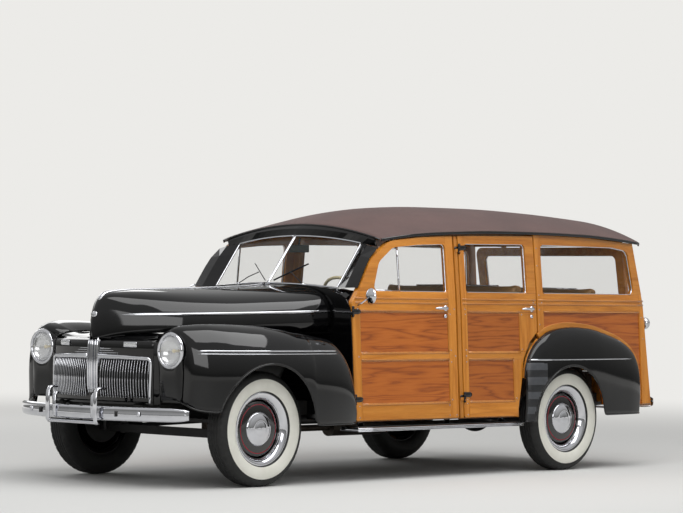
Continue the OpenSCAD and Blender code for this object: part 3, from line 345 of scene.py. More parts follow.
FRONT_DOOR = [(-197, 385, 12), (773, 385, 25), (773, 1140, 40), (695, 1240, 60), (580, 1416, 120),
              (403, 1538, 160), (133, 1566, 0), (-197, top_z(-197), 0)]
FRONT_WINDOW = [(-123, 1212, 18), (577, 1212, 30), (509, 1400, 90), (373, 1496, 110), (133, 1518, 0),
                (-123, 1528, 30)]
REAR_DOOR_SHAPE = [(-770, 385, 12), (-251, 385, 12), (-251, top_z(-251), 0), (-988, top_z(-1000), 0),
                   (-988, 948, 20), (-910, 880, 60), (-842, 760, 60), (-824, 640, 40)]
REAR_WINDOW = [(-904, 1212, 18), (-303, 1212, 18), (-303, 1534, 30), (-904, 1542, 30)]
QUARTER_SHAPE = [(-2247, 440, 0), (-1721, 440, 0), (-1716, 500, 0), (-1606, 740, 150), (-1106, 790, 150),
                 (-1008, 930, 0), (-1000, 960, 0), (-1000, wall_z(-1000), 0), (-1606, wall_z(-1606), 0),
                 (-2108, wall_z(-2108), 0), (-2192, 1125, 60)]
QUARTER_WINDOW = [(-2096, 1212, 40), (-1066, 1212, 18), (-1066, 1544, 30), (-1866, 1542, 60), (-2046, 1520, 60)]


def plate_mesh(outline, cells=(), hole=None):
    """A flat face in X and Z inside an outline, cut to the half planes (x, z, nx, nz) it lies behind."""
    loops = [[Vector((x, z, 0)) for x, z in outline]]
    if hole:
        loops.append([Vector((x, z, 0)) for x, z in reversed(hole)])
    flat = [p for loop in loops for p in loop]
    bm = bmesh.new()
    vs = [bm.verts.new((p.x, 0, p.y)) for p in flat]
    for tri in tessellate_polygon(loops):
        try:
            bm.faces.new([vs[i] for i in tri])
        except ValueError:
            pass
    for x, z, nx, nz in cells:
        bmesh.ops.bisect_plane(bm, geom=bm.verts[:] + bm.edges[:] + bm.faces[:], plane_co=(x, 0, z),
                               plane_no=(nx, 0, nz), clear_outer=True, dist=1e-4)
    bmesh.ops.remove_doubles(bm, verts=bm.verts, dist=0.01)
    bmesh.ops.dissolve_limit(bm, angle_limit=0.02, verts=bm.verts, edges=bm.edges)
    return bm


def board(shape, outline, place, top=0.0, thick=30.0, cells=(), hole=None, edge=3.0, mat=0, segments=2):
    """A board: an outline in X and Z, its face top mm inside the wall, its front edges rounded.
    place(x, depth, z) gives the point in the car."""
    bm = plate_mesh(outline, cells, hole)
    if not bm.faces:
        bm.free()
        return shape
    for v in bm.verts:
        v.co.y = top
    for f in bm.faces:
        f.normal_update()
        if f.normal.y > 0:
            f.normal_flip()
    front = bm.faces[:]
    back = bmesh.ops.extrude_face_region(bm, geom=front)
    moved = [g for g in back["geom"] if isinstance(g, bmesh.types.BMVert)]
    bmesh.ops.translate(bm, vec=(0, thick, 0), verts=moved)
    rim = [e for e in bm.edges if all(abs(v.co.y - top) < 1e-4 for v in e.verts)
           and any(max(abs(v.co.y - top) for v in f.verts) > 1 for f in e.link_faces)]
    if edge and rim:
        bmesh.ops.bevel(bm, geom=rim, offset=edge, segments=segments, affect="EDGES", profile=0.5,
                        clamp_overlap=True)
    lo = min(v.co.z for v in bm.verts)
    hi = max(v.co.z for v in bm.verts)
    for h in range(1150, 1231, 10):
        if lo < h < hi:
            bmesh.ops.bisect_plane(bm, geom=bm.verts[:] + bm.edges[:] + bm.faces[:], plane_co=(0, 0, h),
                                   plane_no=(0, 0, 1), dist=1e-4)
    for v in bm.verts:
        v.co = place(v.co.x, v.co.y, v.co.z)
    tag = random.random() * 3
    take(shape, bm, mat, tag, smooth=False)
    return shape


def on_side(slab):
    return lambda x, d, z: Vector((x, side_y(z) + swell(x, slab) - d, z))


def rect(x0, x1, z0, z1):
    return [(x0, z0), (x1, z0), (x1, z1), (x0, z1)]


def strip(line, w):
    """The outline of a strip of width w on the left of a polyline."""
    out = []
    for i, p in enumerate(line):
        a = Vector(line[max(i - 1, 0)])
        b = Vector(line[min(i + 1, len(line) - 1)])
        d = (b - a).normalized()
        out.append((p[0] - d.y * w, p[1] + d.x * w))
    return list(line) + out[::-1]


# ---- finishes
MATERIALS = {}


def material(name):
    if name not in MATERIALS:
        MATERIALS[name] = FINISHES[name](name)
    return MATERIALS[name]


def shader(name, colour, rough=0.5, metal=0.0, **sockets):
    """A new material with its shader; plain values sit on the shader's own sockets."""
    m = bpy.data.materials.new(name)
    m.use_nodes = True
    t = m.node_tree
    t.nodes.clear()
    b = add(t, "ShaderNodeBsdfPrincipled", inputs={"Base Color": linear(colour), "Roughness": rough,
                                                   "Metallic": metal, **sockets})
    add(t, "ShaderNodeOutputMaterial", inputs={"Surface": b.outputs[0]})
    m.diffuse_color = linear(colour)
    return m, t, b


def noise(t, vector, scale, detail=4.0, rough=0.55, distortion=0.0):
    return add(t, "ShaderNodeTexNoise", inputs={"Vector": vector, "Scale": scale, "Detail": detail,
                                                "Roughness": rough, "Distortion": distortion}).outputs[0]


def object_co(t, scale=(1, 1, 1), turn=(0, 0, 0)):
    c = add(t, "ShaderNodeTexCoord").outputs["Object"]
    return add(t, "ShaderNodeMapping", inputs={"Vector": c, "Scale": scale, "Rotation": turn}).outputs[0]


def ramp(t, factor, stops):
    n = add(t, "ShaderNodeValToRGB", inputs={"Fac": factor})
    e = n.color_ramp.elements
    while len(e) < len(stops):
        e.new(0.5)
    for el, (pos, colour) in zip(e, stops):
        el.position, el.color = pos, linear(colour) if isinstance(colour, str) else (colour,) * 3 + (1,)
    return n.outputs[0]


def spread(t, factor, lo, hi):
    return add(t, "ShaderNodeMapRange", inputs={"Value": factor, "To Min": lo, "To Max": hi}).outputs[0]


def bump(t, b, height, distance, strength=0.5, coat=False):
    n = add(t, "ShaderNodeBump", inputs={"Height": height, "Distance": distance, "Strength": strength})
    t.links.new(n.outputs[0], b.inputs["Normal"])
    if coat:
        t.links.new(n.outputs[0], b.inputs["Coat Normal"])


def simple(colour, other, scale, rough, metal=0.0, depth=0.0, fine=None, **sockets):
    """Colour and roughness drift over a noise of that scale, with an optional fine grain as bump."""
    def make(name):
        m, t, b = shader(name, colour, rough[0], metal, **sockets)
        co = object_co(t)
        f = noise(t, co, scale)
        t.links.new(ramp(t, f, [(0.3, colour), (0.75, other)]), b.inputs["Base Color"])
        t.links.new(spread(t, noise(t, co, scale * 2.3), *rough), b.inputs["Roughness"])
        if depth:
            bump(t, b, noise(t, co, fine or scale * 20, 2.0), depth)
        return m
    return make


def wood(light, mid, dark, along, figure, ring, rough=(0.12, 0.22)):
    """Varnished wood: long streaks along the grain, cathedral figure from bent rings, fine pores.
    along is the grain's axis; a board's own number shifts the pattern, so no two boards match."""
    def make(name):
        m, t, b = shader(name, mid, rough[0], 0, **{"Coat Weight": 0.8, "Coat Roughness": 0.05, "IOR": 1.45})
        shift = add(t, "ShaderNodeAttribute", {"attribute_name": "board"}).outputs["Fac"]
        co = add(t, "ShaderNodeTexCoord").outputs["Object"]
        off = add(t, "ShaderNodeCombineXYZ", inputs={"X": shift, "Y": shift, "Z": shift}).outputs[0]
        off = add(t, "ShaderNodeVectorMath", {"operation": "SCALE"}, {"Vector": off, "Scale": 3.7}).outputs[0]
        co = add(t, "ShaderNodeVectorMath", {"operation": "ADD"}, {0: co, 1: off}).outputs[0]
        squeeze = {"X": (0.07, 1, 1), "Z": (1, 1, 0.07)}[along]
        long = add(t, "ShaderNodeMapping", inputs={"Vector": co, "Scale": squeeze}).outputs[0]
        # rings 10 to 30 mm apart, bent slowly, give the flame figure of a flat-sawn face
        bent = noise(t, long, 9.0, 3.0, 0.5)
        rings = add(t, "ShaderNodeMath", {"operation": "MULTIPLY"}, {0: bent, 1: ring}).outputs[0]
        rings = add(t, "ShaderNodeMath", {"operation": "PINGPONG"}, {0: rings, 1: 1.0}).outputs[0]
        # pores 0.3 mm wide are drawn 1.5 mm wide so that they show
        fibre = noise(t, add(t, "ShaderNodeMapping", inputs={
            "Vector": co, "Scale": {"X": (0.02, 1, 1), "Z": (1, 1, 0.02)}[along]}).outputs[0], 420.0, 2.0, 0.6)
        body = ramp(t, rings, [(0.0, dark), (0.22 + 0.2 * (1 - figure), mid), (0.75, light), (1.0, light)])
        plain = ramp(t, noise(t, long, 26.0, 5.0), [(0.3, mid), (0.62, light)])
        mixed = add(t, "ShaderNodeMix", {"data_type": "RGBA"}, {0: figure, 6: plain, 7: body}).outputs[2]
        streak = ramp(t, fibre, [(0.3, 0.72), (0.6, 1.0)])
        mixed = add(t, "ShaderNodeMix", {"data_type": "RGBA", "blend_type": "MULTIPLY"},
                    {0: 0.55, 6: mixed, 7: streak}).outputs[2]
        tint = add(t, "ShaderNodeMath", {"operation": "PINGPONG"}, {0: shift, 1: 0.5}).outputs[0]
        hue = add(t, "ShaderNodeHueSaturation", inputs={"Color": mixed, "Saturation": 1.03,
                                                        "Value": spread(t, tint, 0.78, 1.2)})
        t.links.new(hue.outputs[0], b.inputs["Base Color"])
        t.links.new(spread(t, fibre, *rough), b.inputs["Roughness"])
        bump(t, b, fibre, 0.0004, 0.25)
        return m
    return make


def leather(colour, other, grain, rough, depth, **sockets):
    """Grained hide or coated cloth: a cellular pattern with creases between the cells."""
    def make(name):
        m, t, b = shader(name, colour, rough[0], **sockets)
        co = object_co(t)
        cells = add(t, "ShaderNodeTexVoronoi", {"feature": "DISTANCE_TO_EDGE"},
                    {"Vector": co, "Scale": grain}).outputs[0]
        wide = noise(t, co, 3.0)
        t.links.new(ramp(t, wide, [(0.3, colour), (0.72, other)]), b.inputs["Base Color"])
        t.links.new(spread(t, noise(t, co, 30.0), *rough), b.inputs["Roughness"])
        both = add(t, "ShaderNodeMath", {"operation": "ADD"}, {0: cells, 1: noise(t, co, grain * 0.3)}).outputs[0]
        bump(t, b, both, depth, 0.6)
        return m
    return make


def ribbed(colour, other, axis, pitch, rough, depth):
    """Ribs of that pitch across an axis."""
    def make(name):
        m, t, b = shader(name, colour, rough[0])
        sep = add(t, "ShaderNodeSeparateXYZ", inputs={"Vector": object_co(t)})
        v = add(t, "ShaderNodeMath", {"operation": "MULTIPLY"}, {0: sep.outputs[axis], 1: 2 * math.pi / pitch}).outputs[0]
        s = add(t, "ShaderNodeMath", {"operation": "SINE"}, {0: v}).outputs[0]
        f = noise(t, object_co(t), 40.0)
        t.links.new(ramp(t, f, [(0.3, colour), (0.7, other)]), b.inputs["Base Color"])
        t.links.new(spread(t, f, *rough), b.inputs["Roughness"])
        bump(t, b, s, depth)
        return m
    return make


def glass(colour, alpha, rough=0.01):
    """Thin clear glass: mostly see-through, with its own mirror reflection."""
    def make(name):
        m, t, b = shader(name, colour, rough, 0, **{"IOR": 1.52, "Alpha": alpha, "Coat Weight": 1.0,
                                                    "Coat Roughness": 0.01})
        bump(t, b, noise(t, object_co(t), 6.0, 1.0), 0.0006, 0.1)
        return m
    return make


FINISHES = {
    # cellulose lacquer, rubbed and polished: deep, wet gloss with faint orange peel
    "black_lacquer": simple("lacquer", "#060607", 2.0, (0.035, 0.07), 0, 0.00004, 260.0, **{"IOR": 1.5}),
    # satin chassis black: brushed on, dusty and uneven
    "chassis_black": simple("#0b0b0b", "#1b1a18", 9.0, (0.4, 0.65), 0, 0.0004, 160.0),
    # polished chromium plate with a trace of buffing haze
    "chrome_plate": simple("#d9dade", "#cdced3", 14.0, (0.035, 0.09), 1.0, 0.00003, 300.0),
    "bright_steel": simple("#b9babd", "#a7a8ab", 30.0, (0.18, 0.3), 1.0, 0.00005, 300.0),
    # flat-sawn hard maple under amber varnish, grain up and down or fore and aft
    "maple_upright": wood("#d58e40", "#c47a30", "#97561f", "Z", 0.35, 9.0),
    "maple_level": wood("#d58e40", "#c47a30", "#97561f", "X", 0.35, 9.0),
    # figured mahogany veneer panels with dark flame figure
    "mahogany_panel": wood("#b9692e", "#a75a26", "#7c3c1a", "X", 0.7, 19.0, (0.14, 0.26)),
    "maple_inside": wood("#b8742e", "#a06024", "#6e3c14", "X", 0.3, 7.0, (0.3, 0.42)),
    # coated cloth stretched over the roof slats: fine pebble grain, satin
    "roof_cloth": leather("roof", "#57403c", 520.0, (0.5, 0.62), 0.0006),
    "seat_hide": leather("hide", "#a87a42", 380.0, (0.42, 0.58), 0.0007, **{"Coat Weight": 0.1, "Coat Roughness": 0.3}),
    "brown_hide": leather("#4d2c1a", "#5b3620", 420.0, (0.5, 0.65), 0.0006),
    "headliner": leather("#6d4a30", "#7a5538", 700.0, (0.8, 0.95), 0.0003),
    "floor_mat": leather("#2a1c14", "#38261a", 300.0, (0.8, 0.95), 0.0008),
    # vulcanised rubber with bloom, and its white side wall
    "tyre_rubber": simple("#0f0f0f", "#1a1a19", 24.0, (0.55, 0.75), 0, 0.0003, 400.0),
    "white_wall": simple("wall", "#cfcec4", 10.0, (0.45, 0.6), 0, 0.0002, 300.0),
    "step_rubber": ribbed("#101010", "#1c1c1b", "Y", 0.012, (0.5, 0.7), 0.0015),
    "wheel_enamel": simple("#060606", "#0a0a0b", 5.0, (0.08, 0.14), 0, 0.00005, 200.0, **{"Coat Weight": 0.8, "Coat Roughness": 0.05}),
    "stripe_enamel": simple("stripe", "#8c1428", 30.0, (0.15, 0.25), 0, 0.00003, 300.0),
    "window_glass": glass("#5c6662", 0.06),
    "lamp_glass": glass("#f2f4f2", 0.22, 0.04),
    "lamp_mirror": simple("#e8e8ea", "#dcdcde", 8.0, (0.12, 0.2), 1.0, 0.0001, 90.0),
    "amber_bulb": simple("#f6e6bd", "#efdca8", 60.0, (0.2, 0.3), 0, 0.0001, 90.0),
    "red_lens": simple("#7a0606", "#5e0404", 60.0, (0.08, 0.14), 0, 0.0012, 170.0, **{"Coat Weight": 1.0, "Coat Roughness": 0.03}),
    "ivory_plastic": simple("#d8cda8", "#cfc29a", 12.0, (0.2, 0.32), 0, 0.00005, 200.0, **{"Coat Weight": 0.4, "Coat Roughness": 0.1}),
    "dash_enamel": simple("#4f3120", "#5a3925", 6.0, (0.22, 0.34), 0, 0.00008, 300.0, **{"Coat Weight": 0.5, "Coat Roughness": 0.1}),
    "dial_face": simple("#1a1512", "#241d18", 40.0, (0.4, 0.5), 0, 0.00005, 300.0),
    "engine_green": simple("#24302b", "#1a231f", 12.0, (0.35, 0.6), 0, 0.0009, 120.0),
    "radiator_core": ribbed("#15120c", "#2a2415", "Z", 0.004, (0.4, 0.6), 0.001),
    "exhaust_steel": simple("#5b554e", "#3e332b", 18.0, (0.4, 0.7), 0.7, 0.0005, 150.0),
    "cast_black": simple("#101010", "#1c1b1a", 14.0, (0.45, 0.7), 0, 0.0008, 190.0),
    "rubber_seal": simple("#0a0a0a", "#141414", 60.0, (0.6, 0.75), 0, 0.0002, 300.0),
}


def refinish(name, finish):
    """Gives a carried-over CAD node its finish."""
    ob = nodes[name]
    ob.data.materials.clear()
    ob.data.materials.append(material(finish))


def scatter(name, body, proto, spots, size=1.0, finish="chrome_plate"):
    """Copies a small part to each (point, outward direction) with Geometry Nodes, as one plain mesh."""
    pm = bpy.data.meshes.new(name + "_form")
    pm.from_pydata([Vector(p) * 0.001 for p in proto.v], [], proto.f)
    po = bpy.data.objects.new(name + "_form", pm)
    bpy.context.scene.collection.objects.link(po)
    mesh = bpy.data.meshes.new(name)
    mesh.from_pydata([Vector(p) * 0.001 for p, d in spots], [], [])
    aim = mesh.attributes.new("aim", "FLOAT_VECTOR", "POINT")
    aim.data.foreach_set("vector", [c for p, d in spots for c in Vector(d).normalized()])
    ob = bpy.data.objects.new(name, mesh)
    bpy.context.scene.collection.objects.link(ob)
    t = bpy.data.node_groups.new(name, "GeometryNodeTree")
    t.interface.new_socket("Points", in_out="INPUT", socket_type="NodeSocketGeometry")
    t.interface.new_socket("Form", in_out="INPUT", socket_type="NodeSocketObject")
    t.interface.new_socket("Size", in_out="INPUT", socket_type="NodeSocketFloat")
    t.interface.new_socket("Finish", in_out="INPUT", socket_type="NodeSocketMaterial")
    t.interface.new_socket("Geometry", in_out="OUTPUT", socket_type="NodeSocketGeometry")
    gi = add(t, "NodeGroupInput")
    form = add(t, "GeometryNodeObjectInfo", inputs={"Object": gi.outputs["Form"]})
    named = add(t, "GeometryNodeInputNamedAttribute", {"data_type": "FLOAT_VECTOR"}, {"Name": "aim"})
    turn = add(t, "FunctionNodeAlignRotationToVector", {"axis": "Z"}, {"Vector": named.outputs[0]})
    inst = add(t, "GeometryNodeInstanceOnPoints", inputs={
        "Points": gi.outputs["Points"], "Instance": form.outputs["Geometry"], "Rotation": turn.outputs[0],
        "Scale": gi.outputs["Size"]})
    real = add(t, "GeometryNodeRealizeInstances", inputs={0: inst.outputs[0]})
    done = add(t, "GeometryNodeSetMaterial", inputs={"Geometry": real.outputs[0], "Material": gi.outputs["Finish"]})
    add(t, "NodeGroupOutput", inputs={0: done.outputs[0]})
    mod = ob.modifiers.new("Scatter", "NODES")
    mod.node_group = t
    keys = {s.name: s.identifier for s in t.interface.items_tree if s.in_out == "INPUT"}
    mod[keys["Form"]] = po
    mod[keys["Size"]] = size * bpy.context.scene.wagon_sizes.screw_size
    mod[keys["Finish"]] = material(finish)
    graph = bpy.context.evaluated_depsgraph_get()
    plain = bpy.data.meshes.new_from_object(ob.evaluated_get(graph))
    ob.modifiers.clear()
    ob.data = plain
    if not plain.materials:
        plain.materials.append(material(finish))
    for p in plain.polygons:
        p.use_smooth = True
    bpy.data.objects.remove(po)
    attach(ob, body)
    return ob


def screw_head(r=4.0, h=1.8):
    """A slotted oval screw head, pointing up."""
    s = Shape()
    lathe(s, [(0.01, h), (r * 0.5, h * 0.85), (r * 0.85, h * 0.45), (r, 0), (r, -1)], (0, 0, 0), (0, 0, 1), 12)
    block(s, (-r * 0.8, -0.5, h * 0.5), (r * 0.8, 0.5, h * 1.02), bevel=0)
    return s


# ---- sheet metal
HOOD = [[791, 1250, 600, 948, 3.8], [990, 1232, 594, 948, 3.7], [1290, 1220, 572, 946, 3.5],
        [1590, 1211, 538, 944, 3.1], [1840, 1204, 452, 942, 2.8], [1990, 1198, 345, 938, 2.6],
        [2090, 1190, 240, 932, 2.4], [2160, 1180, 162, 922, 2.3], [2210, 1157, 104, 912, 2.2],
        [2245, 1108, 64, 905, 2.1], [2270, 1040, 36, 900, 2.0], [2284, 965, 18, 897, 2.0]]
FRONT_FENDER = [
    [2160, 470, 900, 585, 950, 700, 520], [2150, 455, 915, 590, 966, 752, 500],
    [2120, 440, 925, 600, 982, 795, 480], [2070, 440, 930, 620, 991, 838, 470],
    [2015, 460, 932, 650, 996, 868, 466], [1975, 475, 932, 665, 998, 884, 466],
    [1920, 490, 933, 680, 998, 902, 466], [1830, 510, 934, 700, 997, 915, 466],
    [1730, 530, 935, 715, 993, 923, 466], [1620, 550, 935, 725, 988, 928, 466],
    [1510, 565, 932, 735, 977, 928, 466], [1410, 578, 928, 742, 964, 928, 466],
    [1310, 590, 922, 748, 948, 926, 466], [1250, 598, 916, 752, 941, 924, 430],
    [1228, 600, 914, 753, 938, 922, 372], [1110, 608, 900, 758, 923, 916, 372],
    [1010, 612, 885, 762, 906, 905, 372], [930, 614, 840, 765, 858, 892, 372],
    [870, 616, 770, 766, 785, 878, 372], [825, 617, 650, 766, 662, 864, 372],
    [805, 618, 520, 766, 530, 856, 372]]
REAR_FENDER = [
    [-838, 0, 640, 855, 648, 866, 345], [-844, 0, 690, 856, 700, 880, 345],
    [-862, 0, 745, 857, 758, 897, 345], [-906, 0, 820, 858, 835, 912, 345],
    [-956, 0, 868, 860, 883, 920, 345], [-991, 0, 892, 862, 908, 924, 400],
    [-1066, 0, 930, 864, 945, 927, 400], [-1186, 0, 961, 864, 975, 928, 400],
    [-1326, 0, 972, 864, 984, 928, 400], [-1456, 0, 965, 864, 978, 928, 400],
    [-1586, 0, 950, 862, 962, 927, 400], [-1636, 0, 938, 860, 951, 926, 380],
    [-1661, 0, 934, 860, 946, 925, 376], [-1746, 0, 912, 858, 925, 922, 376],
    [-1846, 0, 882, 856, 896, 916, 376], [-1946, 0, 836, 852, 850, 908, 376],
    [-2021, 0, 780, 850, 792, 896, 376], [-2066, 0, 700, 848, 710, 884, 376],
    [-2078, 0, 600, 847, 608, 874, 376], [-2082, 0, 480, 848, 486, 866, 376]]
FRONT_ARCH, REAR_ARCH = (1620, 360, 395), (-1270, 355, 362)


def wall_y(x, z):
    return side_y(z) + 10 + 20 * (x - TAIL) / (QUARTER - TAIL)


def open_z(arch, x, low):
    d = arch[2] ** 2 - (x - arch[0]) ** 2
    return max(low, arch[1] + math.sqrt(d)) if d > 0 else low


def fender_section(r, inner, arch, steps=22):
    """Up from the inner edge to the crown, round the shoulder and down the side to the lower edge."""
    low = open_z(arch, r[0], r[6])
    knee = min(0.62 * (r[4] - r[6]), 330)
    side = []
    for k in range(33):
        a = math.pi / 2 * k / 32
        side.append((r[4] - knee * (1 - max(math.cos(a), 0) ** 0.9), r[3] + (r[5] - r[3]) * math.sin(a) ** 0.9))
    z0 = side[-1][0]
    side += [(z0 + (r[6] - z0) * k / 8, r[5] - 8 * k / 8) for k in range(1, 9)]
    side = [q for q in side if q[0] > low + 0.5] + [(low, float(np.interp(-low, [-q[0] for q in side],
                                                                         [q[1] for q in side])))]
    run = np.concatenate([[0], np.cumsum([math.dist(side[i], side[i + 1]) for i in range(len(side) - 1)])])
    stops = np.linspace(0, run[-1], steps + 1)
    return [(r[0], inner, r[2])] + [(r[0], float(y), float(z)) for z, y in zip(
        np.interp(stops, run, [q[0] for q in side]), np.interp(stops, run, [q[1] for q in side]))]


def skin_at(rows, x, z):
    """Outer y of a fender at x and z."""
    fine = spline(rows, 6)
    r = min(fine, key=lambda q: abs(q[0] - x))
    r = [x] + [at(fine, x, c) for c in range(1, 7)]
    pts = fender_section(r, r[1], (x + 9999, 0, 1))
    outer = [(p[2], p[1]) for p in pts[1:]]
    outer.sort()
    return float(np.interp(z, [o[0] for o in outer], [o[1] for o in outer]))


def hood_at(x, z):
    fine = spline(HOOD, 6)
    r = [x] + [at(fine, x, c) for c in range(1, 5)]
    c = max(0.0, min(1.0, (z - r[3]) / (r[1] - r[3]))) ** (r[4] / 2)
    return r[2] * math.sqrt(max(0.0, 1 - c * c)) ** (2 / r[4])


def hood_crown(x):
    return at(spline(HOOD, 6), x, 1)


def nose_x(y):
    return 780 + math.sqrt(1482**2 - y * y)


def build_hood():
    s = Shape()
    rows = []
    for r in spline(HOOD, 6):
        row = []
        for j in range(-28, 29):
            a = math.pi / 2 * j / 28
            e = 2 / r[4]
            row.append((r[0], r[2] * math.copysign(abs(math.sin(a)) ** e, a) if j else 0.0,
                        r[3] + (r[1] - r[3]) * max(math.cos(a), 0) ** e))
        rows.append(row)
    tip = rows[-1]
    mid = [(2286, p[1] * 0.55, 905 + (p[2] - 897) * 0.6) for p in tip]
    end = [(2287, p[1] * 0.05, 915 + (p[2] - 897) * 0.05) for p in tip]
    v, f = grid(rows + [mid, end])
    s.put(v, [tuple(reversed(q)) for q in f])
    piece("hood_skin", "hood", s, ["black_lacquer"], ["hood"],
          mods=[("SOLIDIFY", {"thickness": 0.004, "offset": -1.0})])
    t = Shape()
    # strip along the crown, swelling to a rounded nose
    path = [(2226, 0, 1128), (2222, 0, 1138), (2212, 0, 1151)] + [(x, 0, hood_crown(x) + 1.5) for x in
                                                                   range(2190, 800, -30)] + [(800, 0, hood_crown(800) + 1)]
    scale = [0.4, 1.6, 2.2, 2.2, 2.0, 1.8] + [max(1.0, 1.7 - 0.12 * i) for i in range(len(path) - 6)]
    sweep(t, path, half_round(15, 6), (0, 0, 1), scale=scale)
    # side spears
    for side in (1, -1):
        line = []
        for i in range(41):
            x = 2168 - (2168 - 797) * i / 40
            z = 1046 + 33 * i / 40
            line.append((x, side * (hood_at(x, z) + 1.0), z))
        up = [Vector((0, side * 1.0, 0.12)).normalized()] * 41
        sweep(t, line, half_round(19, 6.5), up, scale=[0.15, 0.6, 0.9] + [1] * 38)
    # plain badge on the nose
    lathe(t, [(0.01, 9), (12, 8), (19, 5), (22, 1), (22, -4)], (2262, 0, 1046), (1, 0, 0.25), 32)
    # release handle ornament on the crown
    sweep(t, [(1475, 0, hood_crown(1475) + 2), (1450, 0, hood_crown(1450) + 12), (1425, 0, hood_crown(1425) + 20),
              (1412, 0, hood_crown(1412) + 8)], half_round(9, 9), (0, 0, 1), scale=[0.3, 1, 1, 0.6])
    block(t, (790, 16, 1247), (812, 39, 1258.5), bevel=1.5)
    block(t, (790, -39, 1247), (812, -16, 1258.5), bevel=1.5)
    piece("hood_trim", "hood", t, ["chrome_plate"])
    u = Shape()
    # stiffening ribs under the hood
    def under(x, y, depth):
        r = [at(HOOD, x, c) for c in range(5)]
        return (x, y, r[3] + (r[1] - r[3]) * max(1 - abs(y / r[2]) ** r[4], 0) ** (1 / r[4]) - depth)
    for y, front in ((-330, 1500), (0, 1980), (330, 1500)):
        sweep(u, [under(x, y, 24) for x in range(830, front, 60)], half_round(40, 8), (0, 0, -1))
    for x in (900, 1500, 1900):
        w = at(HOOD, x, 2) * 0.7
        sweep(u, [under(x, w * k / 10, 22) for k in range(-10, 11)], half_round(36, 8), (0, 0, -1))
    piece("hood_ribs", "hood", u, ["black_lacquer"])


def build_front_fenders():
    s, lip, trim = Shape(), Shape(), Shape()
    fine = spline(FRONT_FENDER, 5)
    rows = [fender_section(r, r[1], FRONT_ARCH) for r in fine]
    v, f = grid(rows)
    s.put(v, f)
    # rounded front round the headlight
    r0 = rows[0]
    loop = r0 + [(r0[-1][0], r0[0][1], r0[-1][2])]
    cy, cz, n = 599, 833, 72
    rim, ring = [], []
    for k in range(n):
        a = 2 * math.pi * k / n
        d = Vector((math.cos(a), math.sin(a)))
        best = 0
        for i in range(len(loop)):
            p, q = loop[i], loop[(i + 1) % len(loop)]
            e = Vector((q[1] - p[1], q[2] - p[2]))
            w = Vector((p[1] - cy, p[2] - cz))
            den = d.x * e.y - d.y * e.x
            if abs(den) > 1e-9:
                t = (w.x * e.y - w.y * e.x) / den
                u = (w.x * d.y - w.y * d.x) / den
                if t > 0 and -1e-6 <= u <= 1 + 1e-6:
                    best = max(best, t)
        rim.append(best)
        ring.append(d)
    rings = []
    for i in range(13):
        t = i / 12
        rings.append([(r0[0][0] + 1 + 17 * math.sin(t * math.pi / 2),
                       cy + ring[k].x * (rim[k] + (105 - rim[k]) * t), cz + ring[k].y * (rim[k] + (105 - rim[k]) * t))
                      for k in range(n)])
    v, f = grid(rings, closed=True)
    s.put(v, [tuple(reversed(q)) for q in f])
    # rolled lip along the lower edge and the wheel opening
    edge = [p[-1] for p in rows]
    tube(lip, [(x, y - 3, z + 2) for x, y, z in edge[::2]], 6, n=8)
    # splash apron down to the frame
    inner = [r for r in fine if 1090 < r[0] < 2130]
    v, f = grid([[(r[0], 385, 500.5), (r[0], r[1] - 6, r[2] - 12)] for r in inner])
    s.put(v, f, 1)
    # side moulding: a bright band with a dark groove
    for z0, w in ((833, 11), (815, 7)):
        line = []
        for i in range(61):
            x = 2118 - (2118 - 996) * i / 60
            z = z0 + 4 - 4 * i / 60
            line.append((x, skin_at(FRONT_FENDER, x, z) + 0.6, z))
        up = [Vector((0.0, 1, 0.15)).normalized()] * 61
        sweep(trim, line, half_round(w, 4), up, scale=[0.2, 0.7] + [1] * 57 + [0.7, 0.2])
    s.mirrored()
    lip.mirrored()
    trim.mirrored()
    piece("front_fender_skins", "body", s, ["black_lacquer", "chassis_black"], ["front_fenders"],
          mods=[("SOLIDIFY", {"thickness": 0.0025, "offset": -1.0})])
    piece("front_fender_lips", "body", lip, ["black_lacquer"])
    piece("front_fender_mouldings", "body", trim, ["chrome_plate"])
    # bolts along the catwalk seam
    spots = []
    for r in inner[::6]:
        for side in (1, -1):
            spots.append(((r[0], side * (r[1] + 16), r[2] + 3.0), (0, 0, 1)))
    scatter("fender_bolts", "body", screw_head(5, 3), spots, finish="black_lacquer")


